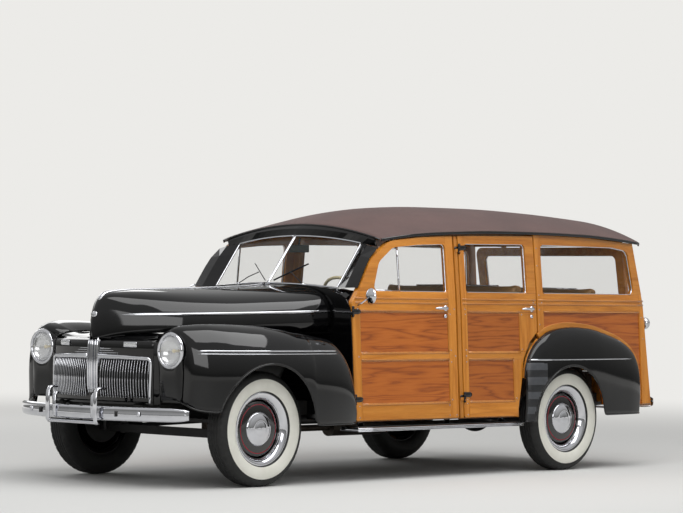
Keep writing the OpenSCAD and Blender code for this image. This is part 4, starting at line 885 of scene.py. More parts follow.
def build_rear_fenders():
    s, lip, trim = Shape(), Shape(), Shape()
    fine = spline(REAR_FENDER, 5)
    rows = [fender_section(r, wall_y(r[0], r[2]) + 1, REAR_ARCH) for r in fine]
    v, f = grid(rows)
    s.put(v, f)
    edge = [p[-1] for p in rows]
    tube(lip, [(x, y - 3, z + 2) for x, y, z in edge[::2]], 6, n=8)
    # welt of dark cord between fender and wood
    tube(lip, [(r[0][0], r[0][1] + 2, r[0][2] + 2) for r in rows[::2]], 4, 1, n=8)
    line = []
    for i in range(60):
        x = -862 - 1090 * i / 59
        line.append((x, skin_at(REAR_FENDER, x, 762) + 0.5, 762))
    up = [Vector((0, 1, 0.15)).normalized()] * 60
    sweep(trim, line, half_round(11, 4), up, scale=[0.3, 1] + [1] * 8 + [0.6] * 46 + [0.4, 0.3, 0.2, 0.1])
    # stone guard: ribbed sheet on the fender's front, its rear edge follows the wheel opening
    base = []
    for r in [q for q in fine if q[0] > -1000]:
        sec = fender_section(r, 0, (9999, 0, 1), 60)
        zs = np.linspace(346, 742, 100)
        pts = sorted((p[2], p[1]) for p in sec[1:])
        base.append([(r[0], float(np.interp(z, [p[0] for p in pts], [p[1] for p in pts])), float(z)) for z in zs])
    keep = Shape()
    for i in range(len(base) - 1):
        for j in range(99):
            q = [base[i][j], base[i][j + 1], base[i + 1][j + 1], base[i + 1][j]]
            x, z = q[0][0], q[0][2]
            top = 742 - 0.0006 * max(0, -880 - x) ** 2
            d = math.hypot(x - REAR_ARCH[0], z - REAR_ARCH[1])
            if d < REAR_ARCH[2] + 26 or x < -985 or z > top or x > -842:
                continue
            out = [(p[0], p[1] + 2.0 + 2.6 * abs(math.sin(math.pi * (p[2] - 346) / 49.6)) ** 0.35, p[2]) for p in q]
            keep.put(out, [(3, 2, 1, 0)], 0 if int((z - 346) / 49.6) % 2 else 1)
    for g in (s, lip, trim, keep):
        g.mirrored()
    piece("rear_fender_skins", "body", s, ["black_lacquer"], ["rear_fenders"],
          mods=[("SOLIDIFY", {"thickness": 0.0025, "offset": -1.0})])
    piece("rear_fender_lips", "body", lip, ["black_lacquer", "rubber_seal"])
    piece("rear_fender_mouldings", "body", trim, ["chrome_plate"])
    piece("stone_guards", "body", keep, ["guard_light", "guard_dark"])


FINISHES["guard_light"] = simple("#3c3e42", "#46484c", 30.0, (0.3, 0.42), 0, 0.0001, 200.0)
FINISHES["guard_dark"] = simple("#17181a", "#1f2023", 30.0, (0.3, 0.42), 0, 0.0001, 200.0)


def build_grille():
    s = Shape()
    ys = sorted(set([-462 + 924 * i / 44 for i in range(45)] + [-440, -62, 62, 440]))
    zs = sorted(set([500.5 + (885 - 500.5) * i / 18 for i in range(19)] + [545, 775] + [888, 892, 896, 899]))

    def back(z):
        return 0 if z < 880 else 46 * ((z - 880) / 19) ** 1.6
    rows = [[(nose_x(y) - back(z), y, z) for z in zs] for y in ys]
    n = len(zs)
    verts = [p for r in rows for p in r]
    faces = []
    for i in range(len(ys) - 1):
        for j in range(n - 1):
            my, mz = (ys[i] + ys[i + 1]) / 2, (zs[j] + zs[j + 1]) / 2
            if 62 < abs(my) < 440 and 545 < mz < 775:
                continue
            faces.append((i * n + j, (i + 1) * n + j, (i + 1) * n + j + 1, i * n + j + 1))
    s.put(verts, faces)
    # shelf between the hood's edge, the front panel and the fender
    shelf = []
    for x in np.linspace(2211, 1850, 26):
        inner = at(spline(HOOD, 4), x, 2) - 8
        if x > 2160:
            outer, zo = math.sqrt(1482**2 - (x + 46 - 780) ** 2), 899
        else:
            outer, zo = at(FRONT_FENDER, x, 1) + 3, at(FRONT_FENDER, x, 2) - 1
        zi = at(HOOD, x, 3) - 5
        shelf.append([(x, inner + (outer - inner) * k / 10, zi + (zo - zi) * k / 10 - 7 * math.sin(math.pi * k / 10))
                      for k in range(11)])
    v, f = grid(shelf)
    top = Shape()
    top.put(v, f).facing((2000, 300, 0))
    top.mirrored()
    s.put(top.v, top.f)
    # side flanges to the fenders
    for side in (1, -1):
        v, f = grid([[(x, side * 462, z) for x in (nose_x(462), nose_x(462) - 50)] for z in (500.5, 690, 885)])
        s.put(v, f if side < 0 else [tuple(reversed(q)) for q in f])
    # rounded joint between the panel and each fender
    for side in (1, -1):
        v, f = grid([[(2161 + (nose_x(462) - 2161) * math.cos(a), side * (462 + 42 * math.sin(a)), z)
                      for a in np.linspace(0, math.pi / 2, 8)] for z in (506, 600, 700, 800, 884)])
        s.put(v, f if side > 0 else [tuple(reversed(q)) for q in f])
    # returns into the two openings
    for side in (1, -1):
        for ya, yb, za, zb in ((62, 62, 545, 775), (440, 440, 545, 775), (62, 440, 545, 545), (62, 440, 775, 775)):
            pts = [(ya + (yb - ya) * k / 12, za + (zb - za) * k / 12) for k in range(13)]
            v, f = grid([[(nose_x(y) - d, side * y, z) for d in (0, 26)] for y, z in pts])
            s.put(v, f)
    piece("front_panel", "body", s, ["black_lacquer"], ["grille_shell"],
          mods=[("SOLIDIFY", {"thickness": 0.002, "offset": -1.0})])
    b = Shape()
    # near-black solid sheet 52 mm behind the nose: painted shade standing in for the dark space behind the grille bars
    v, f = grid([[(nose_x(y) - 52, y, z) for z in (520, 800)] for y in range(-450, 451, 30)])
    b.put(v, [tuple(reversed(q)) for q in f])
    piece("grille_screen", "body", b, ["grille_mesh"],
          mods=[("SOLIDIFY", {"thickness": 0.002, "offset": -1.0})])
    # upright bars: each bows forward and its head leans back under the surround
    bars = Shape()
    sections = [(-2.3, -5), (-2.3, 2), (-1.2, 6), (0, 7.2), (1.2, 6), (2.3, 2), (2.3, -5)]
    path = []
    for k in range(19):
        t = k / 18
        path.append((13 * math.sin(math.pi * min(t * 1.08, 1.0)) - 26 * max(0, t - 0.78) ** 1.2, 0, 540 + 240 * t))
    bars_each = bpy.context.scene.wagon_sizes.bar_count
    for side in (1, -1):
        for i in range(bars_each):
            y = 72 + 362 * i / (bars_each - 1)
            a = math.asin(side * y / 1482)
            p = [(780 + (1478 + q[0]) * math.cos(a), (1478 + q[0]) * math.sin(a), q[2]) for q in path]
            out = Vector((math.cos(a), math.sin(a), 0))
            sweep(bars, p, sections, [out] * len(p))
    piece("grille_bars", "body", bars, ["chrome_plate"])
    c = Shape()
    for side in (1, -1):
        # surround: up the outer side, round the corner and in to the middle
        pts = [(446, 512), (447, 560), (449, 640), (451, 720)]
        pts += [(451 - 30 * (1 - math.cos(a)), 752 + 30 * math.sin(a)) for a in np.linspace(0, math.pi / 2, 9)]
        pts += [(421 - (421 - 50) * k / 16, 782 + 8 * math.sin(k / 16 * math.pi / 2)) for k in range(1, 17)]
        line = [(nose_x(y) + 5, side * y, z) for y, z in pts]
        ups = [Vector((1, side * 0.25, 0)).normalized()] * len(line)
        wide = [1.0] * 4 + list(np.linspace(1.0, 1.5, 9)) + list(np.linspace(1.5, 2.0, 16))
        sweep(c, line, half_round(17, 9), ups, scale=wide)
    # fluted centre piece
    sec = [(-51, -8)]
    for k in range(5):
        c0 = -41 + 20.5 * k
        sec += [(c0 - 8, -5)] + [(c0 + 7.5 * math.cos(a), 13 * math.sin(a) + (4 if k == 2 else 0))
                                 for a in np.linspace(math.pi, 0, 7)] + [(c0 + 8, -5)]
    sec += [(51, -8)]
    line = [(2264 + 5 * math.sin(math.pi * k / 14), 0, 566 + 334 * k / 14) for k in range(15)]
    line[-1] = (2256, 0, 903)
    sweep(c, line, sec, (1, 0, 0), scale=[0.86, 0.95] + [1] * 11 + [0.98, 0.93])
    # short bright lines beside the centre piece, under the hood's lip
    for side in (1, -1):
        for z, l in ((812, 150), (826, 110), (838, 90)):
            line = [(nose_x(y) + 1.5, side * y, z) for y in np.linspace(56, 56 + l, 8)]
            sweep(c, line, half_round(4.5, 2.5), [Vector((1, 0, 0))] * 8, scale=[1] * 6 + [0.7, 0.2])
    piece("grille_surround", "body", c, ["chrome_plate"], ["grille"])


# near-black finish of the sheet behind the grille bars: painted shade, with ribs as bump only
FINISHES["grille_mesh"] = ribbed("#070707", "#0c0c0c", "Z", 0.006, (0.5, 0.7), 0.001)


def build_lamps():
    rim, lens, mirror, bulb = Shape(), Shape(), Shape(), Shape()
    c = (2164, 599, 833)
    lathe(rim, [(90, 4), (91, 13), (94, 20), (99, 23), (105, 22.5), (110, 18), (113, 11), (113.5, 3), (109, 1),
                (90, 4)], c, (1, 0, 0), 96)
    lathe(lens, [(0.01, 30), (25, 29.2), (50, 26.5), (70, 22), (84, 16.5), (91, 11)], c, (1, 0, 0), 96)
    lathe(mirror, [(91, 9), (84, -6), (70, -22), (48, -38), (24, -48), (0.01, -52)], c, (1, 0, 0), 72)
    lathe(bulb, [(0.01, -6), (7, -8), (11, -15), (11, -25), (7, -34), (7, -50)], c, (1, 0, 0), 24)
    # flutes on the back of the headlight glass
    flutes = bpy.context.scene.wagon_sizes.lens_flutes
    pitch = 81 / flutes
    for k in range(-flutes, flutes + 1):
        y = k * pitch
        h = math.sqrt(86**2 - y**2)
        path = [(2164 + 29 - 0.0021 * (y * y + z * z), 599 + y, 833 + z) for z in np.linspace(-h, h, 9)]
        tube(lens, path, 1.1, n=4)
    for y, side in ((302, 1),):
        a = math.asin(y / 1482)
        out = Matrix.Rotation(a, 4, "Z")
        mid = Vector((nose_x(y), y, 866))
        for shape, lo, hi, b in ((rim, (0, -50, -17), (9, 50, 17), 5), (lens, (7, -43, -11), (16, 43, 11), 5)):
            bm = bmesh.new()
            bmesh.ops.create_cube(bm, size=1)
            sz = Vector(hi) - Vector(lo)
            md = (Vector(hi) + Vector(lo)) / 2
            bmesh.ops.transform(bm, matrix=Matrix.Diagonal(sz).to_4x4(), verts=bm.verts)
            bmesh.ops.bevel(bm, geom=bm.edges, offset=b * 0.9, segments=3, affect="EDGES", profile=0.5)
            bmesh.ops.transform(bm, matrix=Matrix.Translation(mid) @ out @ Matrix.Translation(md), verts=bm.verts)
            take(shape, bm)
        for k in range(-4, 5):
            p = [Vector((16.4, k * 9.2, z)) for z in (-9, 0, 9)]
            tube(lens, [tuple(mid + (out @ q)) for q in p], 1.3, n=6)
    for g in (rim, lens, mirror, bulb):
        g.mirrored()
    piece("lamp_bezels", "body", rim, ["chrome_plate"], ["lamp_rims"])
    piece("lamp_glasses", "body", lens, ["lamp_glass"], ["lamp_lenses"])
    piece("lamp_reflectors", "body", mirror, ["lamp_mirror"])
    piece("lamp_bulbs", "body", bulb, ["amber_bulb"])
    tail, ring = Shape(), Shape()
    x = TAIL + 9 + (BELT_TAIL - TAIL - 9) * (968 - 440) / 685
    c = (x, 790, 1010)
    lathe(tail, [(0.01, 47), (14, 46), (26, 43), (33, 38), (35, 30), (35, 24)], c, (-1, 0, 0), 48)
    for k in range(1, 4):
        lathe(tail, [(k * 8 - 1, 47 - k * k * 0.5), (k * 8, 49 - k * k * 0.5), (k * 8 + 1, 47 - k * k * 0.5)], c, (-1, 0, 0), 48)
    lathe(ring, [(35, 22), (35, 33), (38, 35), (41, 32), (42, 22), (42, 8), (38, 0.5), (0.01, 0.5)], c, (-1, 0, 0), 48)
    tail.mirrored()
    ring.mirrored()
    piece("tail_lenses", "body", tail, ["red_lens"], ["tail_lights"])
    piece("tail_rings", "body", ring, ["chrome_plate"])


def build_bumpers():
    c, d = Shape(), Shape()
    blade = [(0, -43), (7, -39), (11, -28), (13, -8), (13, 6), (10, 18), (11, 26), (9, 36), (3, 43), (-3, 42),
             (4, 34), (5, 26), (4, 18), (7, 5), (7, -8), (5, -27), (2, -36), (-4, -41)]
    for front, radius in ((1, 1404), (-1, 4200)):
        cx = 2430 - radius
        span = math.asin(785 / radius)
        path, up, scale = [], [], []
        for k in range(61):
            a = -span + 2 * span * k / 60
            r = radius - 14
            path.append((front * (cx + r * math.cos(a)), front * r * math.sin(a), 448.5))
            edge = min(k, 60 - k) / 4
            scale.append(min(1, 0.66 + 0.34 * math.sqrt(min(edge, 1))))
        sweep(c, path, blade, (0, 0, 1), scale=scale)
        gy = 222 if front > 0 else 330
        gx = 2430 - gy * gy / radius / 2 - 2
        for side in (1, -1):
            # guard: a tall bowed post whose head rolls back over the blade
            line = [(front * (gx + 2), side * gy, 384), (front * (gx + 18), side * gy, 386),
                    (front * (gx + 28), side * gy, 400), (front * (gx + 31), side * gy, 440),
                    (front * (gx + 31), side * gy, 520), (front * (gx + 27), side * gy, 572),
                    (front * (gx + 14), side * gy, 594), (front * (gx - 10), side * gy, 599),
                    (front * (gx - 44), side * gy, 596)]
            ups = [Vector((0, 1, 0))] * len(line)
            sweep(c, line, [(a * 0.62, b) for a, b in circle(17, 12)], ups, scale=[0.7, 0.9, 1, 1, 1, 1, 0.95, 0.85, 0.6])
            line2 = [(front * (gx - 4), side * (gy - 44), 410), (front * (gx + 12), side * (gy - 44), 424),
                     (front * (gx + 16), side * (gy - 44), 480), (front * (gx + 13), side * (gy - 44), 545),
                     (front * (gx + 2), side * (gy - 44), 562), (front * (gx - 24), side * (gy - 44), 564)]
            sweep(c, line2, [(a * 0.62, b) for a, b in circle(15, 12)], [Vector((0, 1, 0))] * 6,
                  scale=[0.6, 0.9, 1, 1, 0.9, 0.6])
            lathe(c, [(0.01, 8), (8, 7), (14, 3), (16, -2)], (front * (2430 - 500**2 / radius / 2), side * 500, 450),
                  (front, 0, 0), 24)
            # bracket arms to the frame rails
            if front > 0:
                path = [(2190, side * 372, 455), (2260, side * 372, 452), (2330, side * 366, 450), (2396, side * 352, 449)]
            else:
                path = [(-2190, side * 360, 425), (-2300, side * 360, 428), (-2395, side * 356, 440), (-2411, side * 354, 446)]
            sweep(d, path, [(-5, -16), (5, -16), (5, 16), (-5, 16)])
        tube(c, [(front * (gx + 20), y, 390) for y in np.linspace(-gy, gy, 15)], 10, n=12)
        # blank plate bracket
        for side in (1, -1):
            block(d, (front * gx - 6, side * 62 - 9, 396), (front * gx + 10, side * 62 + 9, 500), bevel=3)
        block(c, (min(front * (gx + 3), front * (gx + 12)), -98, 436), (max(front * (gx + 3), front * (gx + 12)), 98, 462), bevel=3)
    piece("bumper_blades", "body", c, ["chrome_plate"], ["bumpers"])
    piece("bumper_arms", "body", d, ["chassis_black"])


def build_running_boards():
    s, t, u = Shape(), Shape(), Shape()
    path = [(x, 781, 331) for x in np.linspace(-820, 793, 30)]
    sec = [(-81, 14), (-81, -13), (68, -13), (76, -10), (80, -3), (80, 6), (76, 12), (70, 14.5)]
    sweep(s, path, [(-a, b) for a, b in sec], (0, 0, 1))
    for k in range(10):
        y = 712 + 13.5 * k
        sweep(u, [(x, y, 345) for x in np.linspace(-812, 785, 12)], half_round(7, 3.4))
    for z, w in ((338, 8), (329, 8), (321, 6)):
        sweep(t, [(x, 861, z) for x in np.linspace(-818, 790, 12)], half_round(w, 4), (0, 1, 0))
    block(t, (786, 704, 319), (796, 862, 346), bevel=3)
    for g in (s, t, u):
        g.mirrored()
    for x in (623, -209, -760):
        for side in (1, -1):
            block(s, (x - 20, side * 712 - 10, 344), (x + 20, side * 712 + 10, 410), bevel=2)
    piece("step_boards", "body", s, ["black_lacquer"], ["running_boards"])
    piece("step_treads", "body", u, ["step_rubber"])
    piece("step_trims", "body", t, ["chrome_plate"])


# ---- woodwork
def on_tail(y, d, z):
    x = TAIL + (z - 440) * 64 / 685 if z < 1125 else BELT_TAIL + (z - 1125) * 84 / 475
    return Vector((x + d, y, z))


def screws(name, body, points, slab=None, size=4.0):
    """Slotted screw heads at (x, z) on the outer face of a side, or at (y, z) on the tail."""
    spots = []
    for x, z in points:
        if slab:
            spots.append((tuple(on_side(slab)(x, -0.2, z)), (0, 1, 0)))
            spots.append((tuple(Vector((1, -1, 1)) * on_side(slab)(x, -0.2, z)), (0, -1, 0)))
        else:
            spots.append((tuple(on_tail(x, -0.2, z)), (-1, 0, 0)))
    scatter(name, body, screw_head(size, 1.4), spots, finish="bright_steel")


def door_wood(slab, outline, window, stile_cells, panels):
    """Uprights, rails, panels and beads of one left door."""
    shape = rounded(outline)
    hole = rounded(window)
    place = on_side(slab)
    wood = Shape()
    for cells in stile_cells["upright"]:
        board(wood, shape, place, 0, 31, cells, mat=0)
    for cells in stile_cells["level"]:
        board(wood, shape, place, 0.4, 31, cells, mat=1)
    board(wood, shape, place, 0, 31, [(0, 1212, 0, -1)] + stile_cells["frame"], hole, mat=1, edge=2.5)
    for x0, x1, z0, z1 in panels:
        board(wood, rect(x0, x1, z0, z1), place, 7, 14, mat=2, edge=0)
        # quarter-round beads round each panel
        for a, b in (((x0, z0), (x1, z0)), ((x1, z0), (x1, z1)), ((x1, z1), (x0, z1)), ((x0, z1), (x0, z0))):
            path = [tuple(place(a[0] + (b[0] - a[0]) * k / 12, 6.0, a[1] + (b[1] - a[1]) * k / 12)) for k in range(13)]
            tube(wood, path, 5.5, 0, 8, (0, 1, 0))
    return wood


def bead(shape, slab, x0, x1, z, w=9.0, h=4.0, mat=1):
    path = [tuple(on_side(slab)(x, -0.1, z)) for x in np.linspace(x0, x1, 16)]
    sweep(shape, path, half_round(w, h), [Vector((0, 1, 0))] * 16, mat)


def sided(name, body, shape, mats, node=None, outward=True):
    """One piece for the left and its mirror image for the right."""
    piece(name + "_left", body + "_left", shape, mats, [node + "_left"] if node else (), outward)
    piece(name + "_right", body + "_right", shape.flipped(), mats, [node + "_right"] if node else (), outward)


def inner_trim(slab, outline, window, depth=31.5, thick=7.5):
    s = Shape()
    board(s, rounded(outline), on_side(slab), depth, thick, [(0, 1212, 0, 1)], mat=0, edge=0)
    board(s, rounded(outline), on_side(slab), depth, thick, [(0, 1212, 0, -1)], rounded(window), mat=1, edge=0)
    return s


def window_channel(slab, window, depth, mat=0):
    """A thin bright channel round a window opening."""
    s = Shape()
    pts = rounded(window)
    path = []
    for i, (x, z) in enumerate(pts):
        a, b = Vector((x, z)), Vector(pts[(i + 1) % len(pts)])
        n = max(1, int((b - a).length / 60))
        path += [tuple(on_side(slab)(*(lambda q: (q.x, depth, q.y))(a.lerp(b, k / n)))) for k in range(n)]
    sweep(s, path, [(-4, -3), (4, -3), (4, 5), (-4, 5)], [Vector((0, 1, 0))] * len(path), mat, closed=True)
    return s


def build_front_doors():
    up = [[(-123, 0, 1, 0)], [(704, 0, -1, 0), (0, 1212, 0, 1)]]
    mid = [(-123, 0, -1, 0), (704, 0, 1, 0)]
    level = [mid + [(0, 490, 0, 1)], mid + [(0, 766, 0, -1), (0, 817, 0, 1)], mid + [(0, 1080, 0, -1), (0, 1212, 0, 1)]]
    w = door_wood("front", FRONT_DOOR, FRONT_WINDOW,
                  {"upright": up, "level": level, "frame": [(-123, 0, -1, 0)]},
                  [(-123, 704, 490, 766), (-123, 704, 817, 1080)])
    for z in (1166, 1138):
        bead(w, "front", -118, 745, z, 12, 4.5)
    bead(w, "front", -118, 700, 1086, 9, 4)
    bead(w, "front", -118, 700, 811, 8, 3.5)
    bead(w, "front", -118, 700, 772, 8, 3.5)
    bead(w, "front", -118, 700, 484, 8, 3.5)
    sided("front_door_wood", "front_door", w, ["maple_upright", "maple_level", "mahogany_panel"], "front_door")
    sided("front_door_lining", "front_door", inner_trim("front", FRONT_DOOR, FRONT_WINDOW), ["brown_hide", "maple_inside"])
    c = window_channel("front", FRONT_WINDOW, 18)
    # divider bar of the vent window
    path = [tuple(on_side("front")(x, 16, z)) for x, z in ((322, 1213), (322, 1300), (322, 1420), (322, 1500))]
    sweep(c, path, [(-5, -3), (5, -3), (5, 6), (-5, 6)], (0, 1, 0))
    for a, b in (((322, 1216), (574, 1216)), ((330, 1494), (380, 1490))):
        sweep(c, [tuple(on_side("front")(x, 14, z)) for x, z in (a, b)], half_round(12, 6), (0, 1, 0))
    handle(c, "front", -87, 1105)
    sided("front_door_brights", "front_door", c, ["chrome_plate"])
    hinge = Shape()
    for z in (521, 1080):
        hinge_leaf(hinge, "front", 775, z, -1)
    sided("front_door_hinges", "front_door", hinge, ["black_lacquer"])


def handle(shape, slab, x, z):
    """A curved pull handle on one rosette with a round lock below."""
    place = on_side(slab)
    path = [(x - 12, -4, z), (x - 10, -22, z), (x + 6, -32, z), (x + 40, -33, z + 1), (x + 84, -28, z + 1), (x + 108, -20, z)]
    sweep(shape, [tuple(place(*p)) for p in path], [(a, b * 0.6) for a, b in circle(9, 12)], (0, 1, 0),
          scale=[1.0, 1.15, 1.1, 1.0, 0.9, 0.5])
    lathe(shape, [(0.01, 9), (10, 8), (14, 5), (19, 3), (21, 0), (20, -2)], place(x - 12, 0, z), (0, 1, 0), 32)
    lathe(shape, [(0.01, 6), (7, 5.5), (10, 4), (12, 2), (13, -1)], place(x - 8, 0, z - 52), (0, 1, 0), 24)


def hinge_leaf(shape, slab, x, z, way):
    place = on_side(slab)
    n = 8
    path = [tuple(place(x + way * (6 + 70 * k / n), -1.5, z)) for k in range(n + 1)]
    sweep(shape, path, [(-17, -2), (17, -2), (15, 2.4), (-15, 2.4)], [Vector((0, 1, 0))] * (n + 1), scale=[1] * 7 + [0.8, 0.45])


def build_rear_doors():
    up = [[(-303, 0, -1, 0)], [(-750, 0, 1, 0), (0, 490, 0, -1), (0, 766, 0, 1)],
          [(-820, 0, 1, 0), (0, 817, 0, -1), (0, 1080, 0, 1)]]
    mid = [(-303, 0, 1, 0)]
    level = [mid + [(0, 490, 0, 1)], mid + [(0, 766, 0, -1), (0, 817, 0, 1)], mid + [(0, 1080, 0, -1), (0, 1212, 0, 1)]]
    w = door_wood("rear", REAR_DOOR_SHAPE, REAR_WINDOW, {"upright": up, "level": level, "frame": mid},
                  [(-750, -303, 490, 766), (-820, -303, 817, 1080)])
    # curved strip along the fender
    curve = [(-832, 640), (-845, 700), (-866, 760), (-900, 818), (-944, 868), (-984, 905)]
    fine = spline(curve, 6)
    board(w, strip(fine, 42), on_side("rear"), -3, 12, mat=0, edge=2)
    for z in (1166, 1138):
        bead(w, "rear", -980, -262, z, 12, 4.5)
    for z, x0 in ((1086, -816), (811, -816), (772, -746), (484, -746)):
        bead(w, "rear", x0, -306, z, 8, 3.5)
    sided("rear_door_wood", "rear_door", w, ["maple_upright", "maple_level", "mahogany_panel"], "rear_door")
    sided("rear_door_lining", "rear_door", inner_trim("rear", REAR_DOOR_SHAPE, REAR_WINDOW), ["brown_hide", "maple_inside"])
    c = window_channel("rear", REAR_WINDOW, 18)
    handle(c, "rear", -930, 1105)
    sided("rear_door_brights", "rear_door", c, ["chrome_plate"])
    hinge = Shape()
    for z in (536, 1507):
        hinge_leaf(hinge, "rear", -249, z, -1)
    sided("rear_door_hinges", "rear_door", hinge, ["black_lacquer"])


def build_quarters():
    w = Shape()
    shape, hole = rounded(QUARTER_SHAPE), rounded(QUARTER_WINDOW)
    place = on_side("quarter")
    board(w, shape, place, 0, 34, [(-1066, 0, -1, 0)], mat=0)
    board(w, shape, place, 0, 34, [(-2146, 0, 1, 0), (0, 1212, 0, 1)], mat=0)
    board(w, shape, place, 0.4, 34, [(-1066, 0, 1, 0), (-2146, 0, -1, 0), (0, 1090, 0, -1), (0, 1212, 0, 1)], mat=1)
    board(w, shape, place, 0, 34, [(-1066, 0, 1, 0), (0, 1212, 0, -1)], hole, mat=1, edge=2.5)
    board(w, shape, place, 8, 26, [(-1066, 0, 1, 0), (-2146, 0, -1, 0), (0, 1090, 0, 1)], mat=2, edge=0)
    # arch rail over the fender, running down behind it as the rear post
    line = [(-1010, 905), (-1066, 938), (-1186, 968), (-1326, 979), (-1456, 972), (-1586, 958), (-1746, 921),
            (-1846, 893), (-1946, 850), (-2021, 800), (-2076, 720), (-2092, 620), (-2096, 470)]
    fine = [(x, z) for x, z in spline(line, 5)]
    board(w, strip(fine[::-1], 38), place, -1, 16, mat=1, edge=3)
    for z in (1166, 1138):
        bead(w, "quarter", -2188, -1010, z, 12, 4.5)
    bead(w, "quarter", -2140, -1070, 1086, 8, 3.5)
    w.mirrored()
    piece("quarter_wood", "body", w, ["maple_upright", "maple_level", "mahogany_panel"], ["quarter_panels"], outward=True)
    s = Shape()
    board(s, shape, place, 34.5, 8, [(0, 1212, 0, 1)], mat=0, edge=0)
    board(s, shape, place, 34.5, 8, [(0, 1212, 0, -1)], hole, mat=1, edge=0)
    s.mirrored()
    piece("quarter_lining", "body", s, ["brown_hide", "maple_inside"], outward=True)
    c = window_channel("quarter", QUARTER_WINDOW, 18)
    c.mirrored()
    piece("quarter_brights", "body", c, ["chrome_plate"], outward=True)


def build_gates():
    w = Shape()
    for a, b in ((-690, -635), (635, 690), (-55, 55)):
        board(w, rect(a, b, 656, 1118), on_tail, 0, 34, mat=0)
    for y0, y1 in ((-635, -55), (55, 635)):
        board(w, rect(y0, y1, 656, 726), on_tail, 0.4, 34, mat=1)
        board(w, rect(y0, y1, 1048, 1118), on_tail, 0.4, 34, mat=1)
        board(w, rect(y0, y1, 726, 1048), on_tail, 8, 20, mat=2, edge=0)
    for y0, y1 in ((-635, -55), (55, 635)):
        for z in (731, 1043):
            sweep(w, [tuple(on_tail(y, 5, z)) for y in (y0, (y0 + y1) / 2, y1)], circle(5, 8), (0, 0, 1), 0)
    piece("tailgate_wood", "tailgate", w, ["maple_upright", "maple_level", "mahogany_panel"], ["tailgate"], outward=True)
    s = Shape()
    board(s, rect(-686, 686, 660, 1114), on_tail, 34.5, 5.5, mat=0, edge=0)
    piece("tailgate_lining", "tailgate", s, ["maple_inside"], outward=True)
    c = Shape()
    # gate handle: a turned grip on a plate
    lathe(c, [(0.01, 30), (9, 29), (12, 24), (9, 16), (8, 8), (24, 5), (27, 0), (26, -2)], on_tail(0, 0, 1083), (-1, 0, 0.1), 32)
    sweep(c, [tuple(on_tail(y, -24, 1083)) for y in (-58, -30, 0, 30, 58)], circle(7, 10), (0, 0, 1), scale=[0.6, 0.9, 1.1, 0.9, 0.6])
    for y in (-450, 450):
        path = [tuple(on_tail(y, -3, z)) for z in (668, 700, 740, 775)]
        sweep(c, path, [(-16, -2), (16, -2), (14, 3), (-14, 3)], (1, 0, 0), scale=[1, 1, 0.9, 0.5])
    piece("tailgate_brights", "tailgate", c, ["chrome_plate"], outward=True)
    w = Shape()
    board(w, rounded([(-684, 1126, 20), (684, 1126, 20), (690, 1550, 60), (-690, 1550, 60)]), on_tail, 0, 36, [],
          rounded([(-620, 1192, 24), (620, 1192, 24), (620, 1490, 40), (-620, 1490, 40)]), mat=1)
    piece("liftgate_wood", "liftgate", w, ["maple_upright", "maple_level"], ["liftgate"], outward=True)
    c = Shape()
    for y in (-450, 450):
        path = [tuple(on_tail(y, -3, z)) for z in (1545, 1525, 1505)]
        sweep(c, path, [(-16, -2), (16, -2), (14, 3), (-14, 3)], (1, 0, 0), scale=[1, 0.9, 0.5])
    lathe(c, [(0.01, 26), (8, 25), (10, 18), (7, 8), (18, 4), (20, 0)], on_tail(0, 0, 1158), (-1, 0, 0.2), 24)
    ring = rounded([(-620, 1192, 24), (620, 1192, 24), (620, 1490, 40), (-620, 1490, 40)])
    path = [tuple(on_tail(y, 14, z)) for y, z in ring]
    sweep(c, path, [(-3, -4), (3, -4), (3, 4), (-3, 4)], [Vector((-1, 0, 0.1))] * len(path), closed=True)
    piece("liftgate_brights", "liftgate", c, ["chrome_plate"], outward=True)


def build_roof():
    s, drip, liner = Shape(), Shape(), Shape()
    fine = spline(ROOF, 5)
    rows = []
    for r in fine:
        row = []
        for j in range(-26, 27):
            y = r[3] * math.sin(math.pi / 2 * j / 26)
            row.append((r[0], y, roof_z(r, y)))
        e = r[3]
        row = [(r[0], -e - 4, r[2] - 8), ] + row + [(r[0], e + 4, r[2] - 8)]
        rows.append(row)
    last = rows[-1]
    rows.append([(x - 9, y * 0.997, z - 6) for x, y, z in last])
    rows.append([(x - 12, y * 0.992, z - 20) for x, y, z in last])
    first = rows[0]
    rows.insert(0, [(x + 9, y * 0.997, z - 5) for x, y, z in first])
    rows.insert(0, [(x + 12, y * 0.992, z - 17) for x, y, z in first])
    v, f = grid(rows)
    s.put(v, f).facing((-800, 0, 1000))
    piece("roof_cloth_cover", "body", s, ["roof_cloth"], ["roof"],
          mods=[("SOLIDIFY", {"thickness": 0.012, "offset": -1.0})])
    for side in (1, -1):
        path = [(r[0], side * (r[3] + 2), r[2] - 12) for r in fine]
        sweep(drip, path, [(-5, -9), (6, -9), (6, -4), (0, 0), (3, 9), (-5, 9)] if side < 0 else
              [(5, -9), (5, 9), (-3, 9), (0, 0), (-6, -4), (-6, -9)], (0, 0, 1))
    path = [(480, y, roof_z(fine[0], y) - 12) for y in np.linspace(-730, 730, 25)]
    sweep(drip, path, circle(7, 8), (0, 0, 1))
    path = [(-2190, y, roof_z(fine[-1], y) - 16) for y in np.linspace(-760, 760, 25)]
    sweep(drip, path, circle(7, 8), (0, 0, 1))
    piece("roof_drip", "body", drip, ["black_lacquer"], outward=True)
    rows = [[(r[0], y, roof_z(r, y) - 26) for y in np.linspace(-r[3] + 30, r[3] - 30, 25)] for r in fine[1:-1]]
    v, f = grid(rows)
    liner.put(v, f)
    piece("roof_liner", "body", liner, ["headliner"], mods=[("SOLIDIFY", {"thickness": 0.004, "offset": 0.0})])
    slats = Shape()
    for x in range(300, -2100, -240):
        r = [x] + [at(fine, x, c) for c in (1, 2, 3)]
        path = [(x, y, roof_z(r, y) - 36) for y in np.linspace(-r[3] + 70, r[3] - 70, 13)]
        sweep(slats, path, [(-22, -7), (22, -7), (24, 0), (22, 7), (-22, 7), (-24, 0)], (0, 0, 1))
    piece("roof_bows", "body", slats, ["maple_inside"], outward=True)


